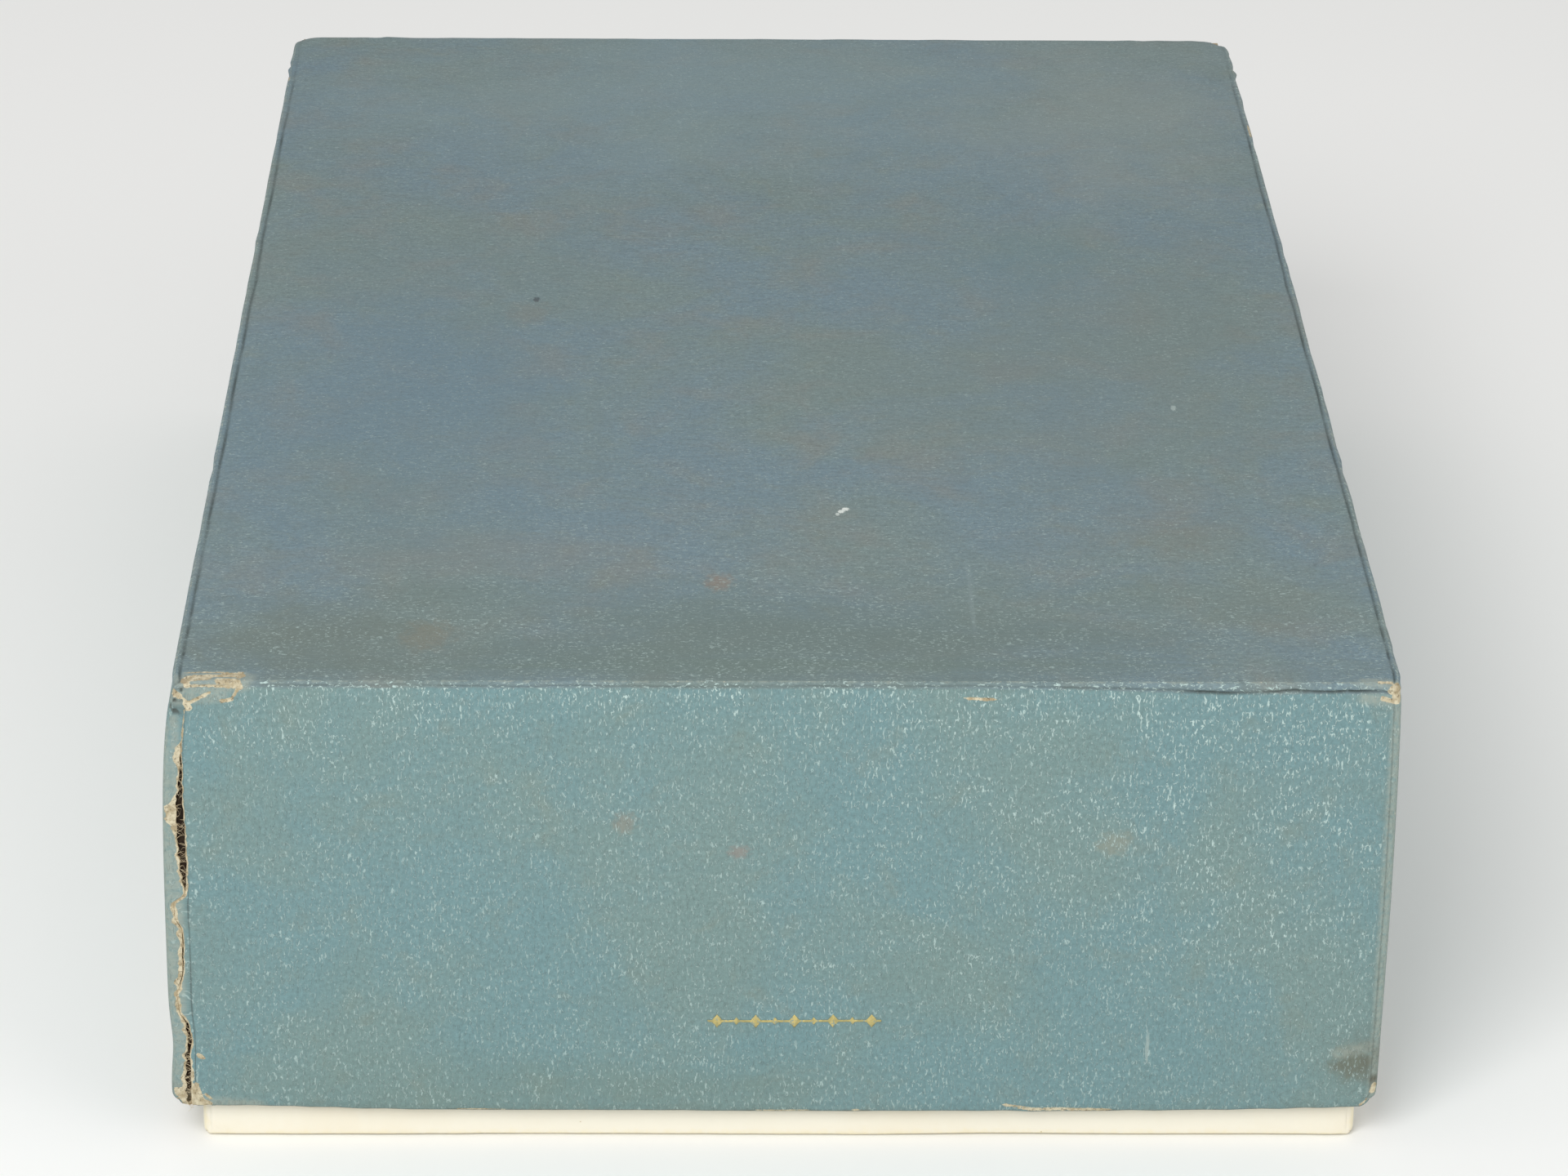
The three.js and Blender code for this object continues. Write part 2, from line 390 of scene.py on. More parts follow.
@dataclass
class Sheet:
    """A mesh being worked out: points in a half's frame, in millimetres, faces, and what its paper knows."""

    points: Array
    quads: Array
    net: Array | None = None
    marks: dict[str, Array] = field(default_factory=dict)

    def make(self, name: str, plan: HalfPlan, material: bpy.types.Material) -> bpy.types.Object:
        """Puts the sheet into the row frame as a Blender object that rides on its half's body.

        Args:
            name: the piece's name.
            plan: the half it belongs to.
            material: its finish.

        Returns:
            The object.
        """
        placed = (self.points.reshape(-1, 3) + np.array([plan.shift, 0, plan.lift])) * MM
        mesh = bpy.data.meshes.new(name)
        mesh.from_pydata(placed.tolist(), [], self.quads.reshape(-1, self.quads.shape[-1]).tolist())
        if self.net is not None:
            mesh.uv_layers.new(name="net").data.foreach_set("uv", self.net.astype(np.float32).ravel())
        for mark, values in self.marks.items():
            attribute = mesh.attributes.new(mark, "FLOAT", "POINT")
            attribute.data.foreach_set("value", values.astype(np.float32).ravel())
        mesh.polygons.foreach_set("use_smooth", np.ones(len(mesh.polygons), bool))
        mesh.update()
        piece = bpy.data.objects.new(name, mesh)
        bpy.context.scene.collection.objects.link(piece)
        mesh.materials.append(material)
        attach(piece, plan.body)
        log.info("%s: %d faces on %s", name, len(mesh.polygons), plan.body)
        return piece


def grid_quads(ids: Array, outward: bool = True) -> Array:
    """The faces between neighbouring points of a numbered grid, turned over unless they point outwards."""
    ring = [ids[:-1, :-1], ids[1:, :-1], ids[1:, 1:], ids[:-1, 1:]]
    return np.stack(ring if outward else ring[::-1], -1)


def rounded_plan(
    x: Array, y: Array, plan: HalfPlan, inset: Array | float, radius: float
) -> tuple[Array, Array, Array, Array]:
    """Moves plan positions on a sharp rectangle onto one drawn in by an inset, with rounded corners.

    The rectangle is first scaled to its inset size. A point inside a corner's square then keeps its direction
    from that square's inner corner, and its larger coordinate becomes its distance.

    Args:
        x: positions across, on the sharp rectangle.
        y: positions along.
        plan: gives the sharp rectangle.
        inset: how far in the outline is drawn.
        radius: the corner radius at no inset.

    Returns:
        The new x and y, and the outward direction's x and y.
    """
    least_radius = 0.25
    hx, hy = plan.half_x - inset, plan.half_y - inset
    px, py = x * hx / plan.half_x, y * hy / plan.half_y
    r = np.maximum(radius - inset, least_radius)
    cx, cy = np.clip(px, r - hx, hx - r), np.clip(py, r - hy, hy - r)
    dx, dy = px - cx, py - cy
    far, length = np.maximum(abs(dx), abs(dy)), np.hypot(dx, dy)
    ux, uy = dx / np.maximum(length, 1e-9), dy / np.maximum(length, 1e-9)
    return cx + ux * far, cy + uy * far, ux, uy


@dataclass
class Wrap:
    """Paper carried round four walls: a ring of places in plan, swept along a profile of insets and heights.

    The ring starts in a column of the front, runs to the right, round the back, and ends where it started.
    Its last column is a second copy of its first, so that the paper can part there.
    """

    plan: HalfPlan
    xs: Array
    ys: Array
    insets: Array
    heights: Array
    radius: float
    start: int

    def __post_init__(self) -> None:
        """Lays out the ring, the faces' sides, the points and their outward directions."""
        nx, ny = len(self.xs), len(self.ys)
        front_right, front_left = np.arange(self.start, nx - 1), np.arange(self.start + 1)
        leftwards, forwards = np.arange(nx - 1, 0, -1), np.arange(ny - 1, 0, -1)
        i = [front_right, np.full(ny - 1, nx - 1), leftwards, np.zeros(ny - 1, int), front_left]
        j = [0 * front_right, np.arange(ny - 1), np.full(nx - 1, ny - 1), forwards, 0 * front_left]
        self.ring_i, self.ring_j = np.concatenate(i), np.concatenate(j)
        self.sides = np.repeat([0, 1, 2, 3, 0], [len(part) for part in i])[:-1]
        self.x, self.y = self.xs[self.ring_i], self.ys[self.ring_j]
        inset = self.insets[:, None]
        px, py, ux, uy = rounded_plan(self.x, self.y, self.plan, inset, self.radius)
        slope_in, slope_up = np.gradient(self.insets), np.gradient(self.heights)
        steep = np.hypot(slope_in, slope_up)
        out, up = -slope_up / steep, -slope_in / steep
        heights, up = (np.broadcast_to(column[:, None], px.shape) for column in (self.heights, up))
        self.points = np.stack([px, py, heights], -1)
        self.outward = np.stack([ux * out[:, None], uy * out[:, None], up], -1)
        steps = np.hypot(np.diff(self.insets), np.diff(self.heights))
        self.travel = np.concatenate([[0], np.cumsum(steps)])

    def net(self, overlap: float) -> Array:
        """Each face corner's place on the unfolded sheet: the flat top's X and Y, carried on over each edge.

        Args:
            overlap: how far the profile's first point lies in from the outer faces.

        Returns:
            Two coordinates for each corner of each face, in the order of grid_quads().
        """
        k, r = np.meshgrid(np.arange(len(self.insets) - 1), np.arange(len(self.ring_i) - 1), indexing="ij")
        rows, columns = np.stack([k, k + 1, k + 1, k], -1), np.stack([r, r, r + 1, r + 1], -1)
        side = self.sides[r][..., None]
        down = self.travel[rows] - overlap
        x, y = self.x[columns], self.y[columns]
        hx, hy = self.plan.half_x, self.plan.half_y
        u = np.select([side == 1, side == 3], [hx + down, -hx - down], x)
        v = np.select([side == 0, side == 2], [-hy - down, hy + down], y)
        return np.stack([u, v], -1)


def box_shell(xs: Array, ys: Array, zs: Array) -> tuple[Array, Array]:
    """A closed box whose six faces are grids that share their edge points.

    Args:
        xs: the grid's positions across.
        ys: the grid's positions along.
        zs: the grid's heights.

    Returns:
        The points and the faces, which point outwards.
    """
    nx, ny, nz = len(xs), len(ys), len(zs)
    number = np.arange(nx * ny * nz).reshape(nx, ny, nz)
    sides = (
        (number[:, :, -1], True),
        (number[:, :, 0], False),
        (number[-1], True),
        (number[0], False),
        (number[:, 0], True),
        (number[:, -1], False),
    )
    faces = [grid_quads(grid, outward).reshape(-1, 4) for grid, outward in sides]
    used, quads = np.unique(np.concatenate(faces), return_inverse=True)
    i, j, k = np.unravel_index(used, (nx, ny, nz))
    return np.stack([xs[i], ys[j], zs[k]], -1), quads.reshape(-1, 4)


# --------------------------------------------------------------------------------------------------
# Shader node kit
# --------------------------------------------------------------------------------------------------

Socket = bpy.types.NodeSocket
Value = Socket | float | tuple[float, ...]


class Graph:
    """A node tree being wired, with short calls for the nodes that this box's finishes use."""

    def __init__(self, tree: bpy.types.NodeTree) -> None:
        """Wires into the given tree."""
        self.tree = tree

    def feed(self, socket: Socket, value: Value) -> None:
        """Links an output into a socket, or sets the socket's own value."""
        if isinstance(value, bpy.types.NodeSocket):
            self.tree.links.new(value, socket)
        else:
            socket.default_value = value

    def add(
        self, kind: str, inputs: dict[int | str, Value] | None = None, **settings: object
    ) -> bpy.types.Node:
        """Adds a node, sets its options and feeds its inputs."""
        node = self.tree.nodes.new(kind)
        for name, setting in settings.items():
            setattr(node, name, setting)
        for key, value in (inputs or {}).items():
            self.feed(node.inputs[key], value)
        return node

    def math(self, operation: str, *values: Value) -> Socket:
        """One arithmetic step."""
        feeds = dict(enumerate(values))
        return self.add("ShaderNodeMath", feeds, operation=operation).outputs[0]

    def vector(self, operation: str, *values: Value) -> Socket:
        """One step of vector arithmetic."""
        return self.add("ShaderNodeVectorMath", dict(enumerate(values)), operation=operation).outputs[0]

    def mix(self, factor: Value, first: Value, second: Value) -> Socket:
        """Two colours mixed by a factor."""
        feeds = {0: factor, 6: first, 7: second}
        return self.add("ShaderNodeMix", feeds, data_type="RGBA").outputs[2]

    def tint(self, base: Value, over: Value, mask: Value, strength: Value) -> Socket:
        """One colour laid over another, through a mask, at a strength."""
        return self.mix(self.math("MULTIPLY", mask, strength), base, over)

    def scaled(self, vector: Value, factor: Value) -> Socket:
        """A vector or a colour, times a number."""
        return self.add("ShaderNodeVectorMath", {0: vector, "Scale": factor}, operation="SCALE").outputs[0]

    def fitted(self, vector: Value, length: Value) -> Socket:
        """A vector measured in a new unit, which is the given length."""
        return self.scaled(vector, self.math("DIVIDE", 1.0, length))

    def smooth(
        self, value: Value, low: float, high: float, to_low: float = 0.0, to_high: float = 1.0
    ) -> Socket:
        """A value eased from one range to another."""
        feeds = {0: value, 1: low, 2: high, 3: to_low, 4: to_high}
        return self.add("ShaderNodeMapRange", feeds, interpolation_type="SMOOTHSTEP").outputs[0]

    def noise(
        self, vector: Value, scale: float, detail: float = 2, roughness: float = 0.5, warp: float = 0
    ) -> Socket:
        """Fractal noise, about 0.3 to 0.7 for most of a surface."""
        feeds = {"Vector": vector, "Scale": scale, "Detail": detail}
        feeds |= {"Roughness": roughness, "Distortion": warp}
        return self.add("ShaderNodeTexNoise", feeds).outputs[0]

    def cells(self, vector: Value, scale: float, feature: str = "F1") -> bpy.types.Node:
        """Voronoi cells."""
        return self.add("ShaderNodeTexVoronoi", {"Vector": vector, "Scale": scale}, feature=feature)

    def stretch(self, vector: Value, x: float, y: float, z: float = 1) -> Socket:
        """A vector with its axes scaled one by one."""
        return self.vector("MULTIPLY", vector, (x, y, z))

    def group(self, tree: bpy.types.NodeTree, **inputs: Value) -> bpy.types.Node:
        """Places a node group, its inputs named with underscores for spaces."""
        node = self.add("ShaderNodeGroup", node_tree=tree)
        for name, value in inputs.items():
            self.feed(node.inputs[name.replace("_", " ")], value)
        return node

    def attribute(self, name: str) -> Socket:
        """A number that the mesh carries at its points."""
        return self.add("ShaderNodeAttribute", attribute_name=name).outputs["Fac"]

    def net(self) -> Socket:
        """Places on the unfolded sheet, in millimetres."""
        return self.add("ShaderNodeUVMap", uv_map="net").outputs[0]

    def solid(self) -> Socket:
        """Places in the object, in millimetres."""
        place = self.add("ShaderNodeTexCoord").outputs["Object"]
        return self.vector("MULTIPLY", place, (1 / MM, 1 / MM, 1 / MM))


FLOAT, VECTOR = "NodeSocketFloat", "NodeSocketVector"


def new_group(
    name: str, inputs: Sequence[tuple[str, str, float | None]], outputs: Sequence[tuple[str, str]]
) -> tuple[Graph, dict[str, Socket], bpy.types.Node]:
    """Starts a shader node group.

    Args:
        name: the group's name.
        inputs: each input's name, socket type and default number.
        outputs: each output's name and socket type.

    Returns:
        The graph to wire in, the inputs by name, and the output node.
    """
    tree = bpy.data.node_groups.new(name, "ShaderNodeTree")
    for title, kind, default in inputs:
        socket = tree.interface.new_socket(title, in_out="INPUT", socket_type=kind)
        if default is not None:
            socket.default_value = default
    for title, kind in outputs:
        tree.interface.new_socket(title, in_out="OUTPUT", socket_type=kind)
    graph = Graph(tree)
    entry, leave = graph.add("NodeGroupInput"), graph.add("NodeGroupOutput")
    return graph, {socket.name: socket for socket in entry.outputs}, leave


class Effects:
    """The effects that several finishes share, each one a node group built once."""

    def __init__(self) -> None:
        """Builds every group."""
        self.leather = self._leather()
        self.clouds = self._clouds()
        self.ragged = self._ragged()
        self.specks = self._specks()
        self.blot = self._blot()
        self.fibre = self._fibre()

    def patches(self, graph: Graph, vector: Value, size: float, low: float, high: float) -> Socket:
        """A mask of soft patches, each about `size` millimetres, from noise between `low` and `high`."""
        return graph.group(self.clouds, Vector=vector, Size=size, Low=low, High=high).outputs[0]

    def dots(self, graph: Graph, vector: Value, pitch: float, radius: float, share: float) -> Socket:
        """A mask of small specks, one at most for each `pitch` millimetres, kept in a share of places."""
        return graph.group(self.specks, Vector=vector, Pitch=pitch, Radius=radius, Share=share).outputs[0]

    @staticmethod
    def _leather() -> bpy.types.NodeTree:
        """An embossed leather grain: short wavering ridges along the sheet between shallow pebbles."""
        names = [("Vector", VECTOR, None), ("Pitch", FLOAT, 1.0), ("Length", FLOAT, 2.0)]
        g, given, leave = new_group("embossed leather grain", names, [("Height", FLOAT), ("Crest", FLOAT)])
        across = g.math("DIVIDE", 1.0, given["Pitch"])
        along = g.math("DIVIDE", across, given["Length"])
        scale = g.add("ShaderNodeCombineXYZ", {0: across, 1: along, 2: across}).outputs[0]
        place = g.vector("MULTIPLY", given["Vector"], scale)
        field_value = g.noise(place, 1.0, 1.0, 0.5, 0.3)
        off_centre = g.math("ABSOLUTE", g.math("SUBTRACT", field_value, 0.5))
        ridge = g.smooth(off_centre, 0.065, 0.0)
        broken = g.smooth(g.noise(place, 0.95, 0.0), 0.46, 0.58)
        crest = g.math("MULTIPLY", ridge, broken)
        pebble = g.cells(place, 1.15, "SMOOTH_F1").outputs["Distance"]
        fine = g.noise(given["Vector"], 3.2, 2.0)
        low = g.math("MULTIPLY_ADD", pebble, -0.35, 0.5)
        body = g.math("MULTIPLY_ADD", fine, 0.22, low)
        g.feed(leave.inputs["Height"], g.math("MULTIPLY_ADD", crest, 0.5, body))
        g.feed(leave.inputs["Crest"], crest)
        return g.tree

    @staticmethod
    def _clouds() -> bpy.types.NodeTree:
        """Soft patches of one size, such as fading and handling make."""
        names = [("Vector", VECTOR, None), ("Size", FLOAT, 20.0), ("Low", FLOAT, 0.4), ("High", FLOAT, 0.6)]
        g, given, leave = new_group("clouded patches", names, [("Mask", FLOAT)])
        place = g.fitted(given["Vector"], given["Size"])
        cloud = g.noise(place, 1.0, 5.0, 0.62, 0.4)
        feeds = {0: cloud, 1: given["Low"], 2: given["High"]}
        mask = g.add("ShaderNodeMapRange", feeds, interpolation_type="SMOOTHSTEP").outputs[0]
        g.feed(leave.inputs["Mask"], mask)
        return g.tree

    @staticmethod
    def _ragged() -> bpy.types.NodeTree:
        """Turns a depth in millimetres into a mask whose edge is torn paper's."""
        names = [("Depth", FLOAT, 0.0), ("Vector", VECTOR, None)]
        names += [("Reach", FLOAT, 0.4), ("Pitch", FLOAT, 0.8)]
        g, given, leave = new_group("ragged edge", names, [("Mask", FLOAT)])
        place = g.fitted(given["Vector"], given["Pitch"])
        swing = g.math("SUBTRACT", g.noise(place, 1.0, 4.0, 0.65), 0.5)
        depth = g.math("MULTIPLY_ADD", swing, g.math("MULTIPLY", given["Reach"], 2.0), given["Depth"])
        g.feed(leave.inputs["Mask"], g.smooth(depth, -0.04, 0.06))
        return g.tree

    @staticmethod
    def _specks() -> bpy.types.NodeTree:
        """Scattered round specks."""
        names = [("Vector", VECTOR, None), ("Pitch", FLOAT, 5.0)]
        names += [("Radius", FLOAT, 0.2), ("Share", FLOAT, 0.3)]
        g, given, leave = new_group("scattered specks", names, [("Mask", FLOAT)])
        place = g.fitted(given["Vector"], given["Pitch"])
        cell = g.cells(place, 1.0)
        distance = g.math("MULTIPLY", cell.outputs["Distance"], given["Pitch"])
        inner = g.math("SUBTRACT", distance, 0.15)
        jagged = g.math("MULTIPLY_ADD", g.noise(given["Vector"], 4.0, 2.0), 0.3, inner)
        near = g.math("LESS_THAN", jagged, given["Radius"])
        pick = g.add("ShaderNodeSeparateColor", {0: cell.outputs["Color"]}).outputs[0]
        g.feed(leave.inputs["Mask"], g.math("MULTIPLY", near, g.math("LESS_THAN", pick, given["Share"])))
        return g.tree

    @staticmethod
    def _blot() -> bpy.types.NodeTree:
        """One soft blot with an uneven edge, centred on a place and of a size along each axis."""
        names = [(title, VECTOR, None) for title in ("Vector", "Centre", "Size")]
        names.append(("Softness", FLOAT, 0.5))
        g, given, leave = new_group("blot", names, [("Mask", FLOAT)])
        off = g.vector("DIVIDE", g.vector("SUBTRACT", given["Vector"], given["Centre"]), given["Size"])
        reach = g.add("ShaderNodeVectorMath", {0: off}, operation="LENGTH").outputs["Value"]
        uneven = g.math("MULTIPLY_ADD", g.math("SUBTRACT", g.noise(off, 2.2, 4.0, 0.6), 0.5), 1.6, reach)
        feeds = {0: uneven, 1: 1.0, 2: g.math("SUBTRACT", 1.0, given["Softness"])}
        mask = g.add("ShaderNodeMapRange", feeds, interpolation_type="SMOOTHSTEP").outputs[0]
        g.feed(leave.inputs["Mask"], mask)
        return g.tree

    @staticmethod
    def _fibre() -> bpy.types.NodeTree:
        """The matted fibre of torn paper and raw board."""
        names = [("Vector", VECTOR, None), ("Pitch", FLOAT, 0.3)]
        g, given, leave = new_group("matted fibre", names, [("Height", FLOAT), ("Tone", FLOAT)])
        place = g.fitted(given["Vector"], given["Pitch"])
        strands = g.noise(g.stretch(place, 1.0, 0.3, 0.3), 1.0, 4.0, 0.7, 1.5)
        crossing = g.noise(g.stretch(place, 0.3, 1.0, 1.0), 1.0, 4.0, 0.7, 1.5)
        g.feed(leave.inputs["Height"], g.math("MAXIMUM", strands, crossing))
        g.feed(leave.inputs["Tone"], g.smooth(g.noise(place, 0.25, 5.0, 0.6), 0.35, 0.65))
        return g.tree


def new_material(name: str) -> tuple[Graph, bpy.types.Node]:
    """Starts a material with one Principled shader.

    Args:
        name: the material's name.

    Returns:
        The graph to wire in and the shader.
    """
    material = bpy.data.materials.new(name)
    material.use_nodes = True
    graph = Graph(material.node_tree)
    graph.tree.nodes.clear()
    shader, leave = graph.add("ShaderNodeBsdfPrincipled"), graph.add("ShaderNodeOutputMaterial")
    graph.feed(leave.inputs["Surface"], shader.outputs[0])
    return graph, shader


def finish_off(
    graph: Graph,
    shader: bpy.types.Node,
    colour: Value,
    roughness: Value,
    height: Value,
    depth: float,
    specular: float = 0.5,
) -> None:
    """Feeds a shader its colour, roughness and gloss, and a bump whose full height is `depth` millimetres."""
    shader.inputs["Specular IOR Level"].default_value = specular
    graph.feed(shader.inputs["Base Color"], colour)
    graph.feed(shader.inputs["Roughness"], roughness)
    bump = graph.add("ShaderNodeBump", {"Strength": 1.0, "Distance": depth * MM, "Height": height})
    graph.feed(shader.inputs["Normal"], bump.outputs[0])


def material_of(graph: Graph) -> bpy.types.Material:
    """The material that a graph's node tree belongs to."""
    return next(m for m in bpy.data.materials if m.node_tree == graph.tree)


# --------------------------------------------------------------------------------------------------
# Finishes
# --------------------------------------------------------------------------------------------------

Colour = tuple[float, float, float, float]


@dataclass(frozen=True)
class Mark:
    """A stain or chip on the lid's unfolded sheet, in millimetres, which can keep to the lid's top."""

    centre: tuple[float, float]
    size: tuple[float, float]
    colour: Colour
    strength: float
    softness: float = 0.7
    top_only: bool = False


@dataclass(frozen=True)
class LeatherPaper:
    """The lid's covering: blue-green paper embossed with a leather grain, faded, rubbed and torn."""

    wall_colours: tuple[Colour, Colour] = (srgb(107, 137, 140), srgb(112, 136, 134))
    # the top's colours: partly the paper's own tone, partly painted shade, darker and greyer than the walls'
    top_tone_and_shade_colours: tuple[Colour, Colour] = (srgb(110, 131, 140), srgb(114, 131, 130))
    dust: Colour = srgb(125, 129, 124)
    # the grain's pale crests: partly rubbed wear, partly painted highlight
    crest: Colour = srgb(176, 198, 194)
    rubbed: Colour = srgb(146, 156, 147)
    # painted shade: the dark colour laid in the board joints, flap feet and crumples
    crevice: Colour = srgb(62, 72, 70)
    # grime at the crushed corners, and painted shade along the rim's underside
    grime_and_rim_shade_colour: Colour = srgb(96, 96, 84)
    torn: tuple[Colour, Colour] = (srgb(208, 199, 172), srgb(168, 154, 124))
    char: Colour = srgb(84, 72, 54)
    warm: Colour = srgb(126, 132, 118)
    fleck: Colour = srgb(200, 212, 206)
    speck: Colour = srgb(74, 88, 90)
    elsewhere: tuple[float, float, float] = (310.0, 170.0, 0.0)  # a shift to another part of the noise
    marks: tuple[Mark, ...] = (
        Mark((-75.0, -50.0), (55.0, 120.0), srgb(102, 126, 138), 0.5, 0.95),
        Mark((70.0, -20.0), (70.0, 110.0), srgb(112, 127, 126), 0.5, 0.95),
        Mark((60.0, 35.0), (26.0, 30.0), srgb(102, 128, 136), 0.5, 0.95),
        Mark((0.0, -172.0), (140.0, 40.0), srgb(104, 120, 116), 0.85, 0.95, True),
        Mark((0.0, -180.5), (150.0, 5.0), srgb(104, 121, 115), 0.6, 0.9, True),
        Mark((-55.0, -128.0), (50.0, 16.0), srgb(120, 128, 126), 0.5, 0.95),
        Mark((-10.0, 150.0), (130.0, 80.0), srgb(125, 145, 149), 0.6, 0.9),
        Mark((85.0, 130.0), (55.0, 80.0), srgb(133, 145, 143), 0.6, 0.95),
        Mark((-92.0, -168.0), (40.0, 28.0), srgb(106, 117, 110), 0.65, 0.95, True),
        Mark((13.3, -106.0), (0.9, 0.9), srgb(222, 228, 222), 0.95, 0.3),
        Mark((12.4, -107.2), (0.8, 0.9), srgb(222, 228, 222), 0.95, 0.3),
        Mark((11.6, -108.6), (0.5, 0.8), srgb(206, 214, 208), 0.7, 0.3),
        Mark((85.0, -52.0), (0.7, 1.6), srgb(168, 182, 178), 0.7, 0.4),
        Mark((37.0, -150.0), (0.9, 22.0), srgb(136, 152, 154), 0.35, 0.9),
        Mark((-52.7, 9.0), (0.9, 1.6), srgb(62, 72, 78), 0.8, 0.4),
        Mark((-12.8, -142.5), (4.0, 5.0), srgb(136, 120, 106), 0.6),
        Mark((-69.7, -167.4), (7.0, 9.0), srgb(124, 122, 108), 0.5),
        Mark((-54.0, 1.0), (7.0, 9.0), srgb(124, 122, 116), 0.3),
        Mark((80.0, -118.0), (24.0, 18.0), srgb(120, 122, 114), 0.35, 0.9),
        Mark((96.0, -150.0), (18.0, 20.0), srgb(114, 124, 116), 0.35, 0.9),
        Mark((-31.0, -216.7), (3.2, 3.0), srgb(132, 128, 116), 0.6),
        Mark((-9.0, -222.9), (3.0, 1.8), srgb(142, 124, 116), 0.5),
        Mark((63.4, -221.0), (5.0, 3.4), srgb(138, 138, 122), 0.5),
        Mark((112.5, -269.8), (5.0, 2.6), srgb(92, 94, 84), 0.7),
        Mark((112.0, -269.5), (6.5, 5.0), srgb(104, 112, 100), 0.8),
        Mark((-40.0, -276.0), (80.0, 12.0), srgb(108, 126, 118), 0.4, 0.95),
        Mark((71.4, -266.0), (0.5, 4.0), srgb(160, 174, 168), 0.6, 0.5),
    )

    def build(self, effects: Effects) -> bpy.types.Material:
        """Wires the finish.

        Args:
            effects: the shared node groups.

        Returns:
            The material.
        """
        g, shader = new_material("leather grain paper")
        net, solid, upward = g.net(), g.solid(), g.attribute("upward")
        colour = self._ground(g, effects, net, upward)
        colour = self._marked(g, effects, net, upward, colour)
        height, crest = self._grain(g, effects, net, upward)
        colour = self._grained(g, effects, net, colour, height, crest)
        colour = self._worn(g, net, colour)

        edge = g.group(effects.ragged, Depth=g.attribute("bare"), Vector=solid, Reach=0.35, Pitch=0.9)
        fibre = g.group(effects.fibre, Vector=solid, Pitch=0.35)
        torn = g.mix(fibre.outputs["Tone"], *self.torn)
        torn = g.tint(torn, self.char, g.smooth(g.noise(solid, 1.7, 4.0, 0.7), 0.52, 0.66), 0.7)
        colour = g.mix(edge.outputs["Mask"], colour, torn)
        height = g.math("MULTIPLY", height, g.math("SUBTRACT", 1.0, edge.outputs["Mask"]))
        matted = g.math("MULTIPLY", fibre.outputs["Height"], edge.outputs["Mask"])
        height = g.math("MULTIPLY_ADD", matted, 0.9, height)
        rough = g.smooth(crest, 0.0, 1.0, 0.62, 0.5)
        rough = g.math("MAXIMUM", rough, g.math("MULTIPLY", edge.outputs["Mask"], 0.95))
        finish_off(g, shader, colour, rough, height, 0.16, 0.35)
        return material_of(g)

    def _ground(self, g: Graph, effects: Effects, net: Socket, upward: Socket) -> Socket:
        """The paper's colour: the walls', and the top's, partly its own tone and partly painted shade, with
        its dust, which reaches over the edge.
        """
        walls = g.mix(effects.patches(g, net, 42.0, 0.4, 0.62), *self.wall_colours)
        top = g.mix(effects.patches(g, net, 60.0, 0.38, 0.62), *self.top_tone_and_shade_colours)
        moved = g.vector("ADD", net, self.elsewhere)
        top = g.tint(top, self.dust, effects.patches(g, moved, 22.0, 0.45, 0.75), 0.6)
        streaks = g.smooth(g.noise(g.stretch(net, 0.2, 0.9), 1.0, 5.0, 0.75), 0.3, 0.7, 0.9, 1.1)
        top = g.scaled(top, streaks)
        uneven = g.noise(g.stretch(net, 0.35, 0.8), 1.0, 4.0, 0.65)
        turned = g.math("MULTIPLY_ADD", uneven, 1.2, g.math("ADD", upward, -0.6))
        colour = g.mix(g.smooth(turned, 0.2, 0.8), walls, top)
        colour = g.tint(colour, self.warm, effects.patches(g, moved, 9.0, 0.52, 0.75), 0.3)
        tone = g.smooth(g.noise(net, 1.1, 3.0, 0.6), 0.25, 0.75, 0.88, 1.12)
        fine = g.smooth(g.noise(net, 3.4, 2.0, 0.6), 0.25, 0.75, 0.92, 1.08)
        return g.scaled(colour, g.math("MULTIPLY", tone, fine))

    def _marked(self, g: Graph, effects: Effects, net: Socket, upward: Socket, colour: Socket) -> Socket:
        """The colour with every stain, faded patch and chip laid over it in turn."""
        for mark in self.marks:
            centre, size = (*mark.centre, 0.0), (*mark.size, 1.0)
            spot = g.group(effects.blot, Vector=net, Centre=centre, Size=size, Softness=mark.softness)
            blot = g.math("MULTIPLY", spot.outputs[0], upward) if mark.top_only else spot.outputs[0]
            colour = g.tint(colour, mark.colour, blot, mark.strength)
        return colour

    @staticmethod
    def _grain(g: Graph, effects: Effects, net: Socket, upward: Socket) -> tuple[Socket, Socket]:
        """The embossed grain's height and crests, turned a quarter on the top."""
        turned_net = g.add("ShaderNodeVectorRotate", {"Vector": net, "Angle": math.pi / 2}).outputs[0]
        wall_grain = g.group(effects.leather, Vector=net, Pitch=0.52, Length=3.2)
        top_grain = g.group(effects.leather, Vector=turned_net, Pitch=0.6, Length=2.0)
        on_top = g.smooth(upward, 0.45, 0.55)
        on_walls = g.math("SUBTRACT", 1.0, on_top)
        height, crest = (
            g.math(
                "ADD",
                g.math("MULTIPLY", top_grain.outputs[out], on_top),
                g.math("MULTIPLY", wall_grain.outputs[out], on_walls),
            )
            for out in ("Height", "Crest")
        )
        return height, crest

    def _grained(
        self, g: Graph, effects: Effects, net: Socket, colour: Socket, height: Socket, crest: Socket
    ) -> Socket:
        """The colour with painted shade in the grain's hollows, pale crests in patches that are partly rubbed
        wear and partly painted highlight, and light and dark specks.
        """
        moved = g.vector("ADD", net, self.elsewhere)
        patchy = effects.patches(g, net, 13.0, 0.3, 0.62)
        strength = g.math("MULTIPLY", g.math("MULTIPLY_ADD", patchy, 0.7, 0.3), g.attribute("crests"))
        # painted shade in the grain's hollows and a slight painted highlight on its high points
        colour = g.scaled(colour, g.smooth(height, 0.15, 0.6, 0.89, 1.03))
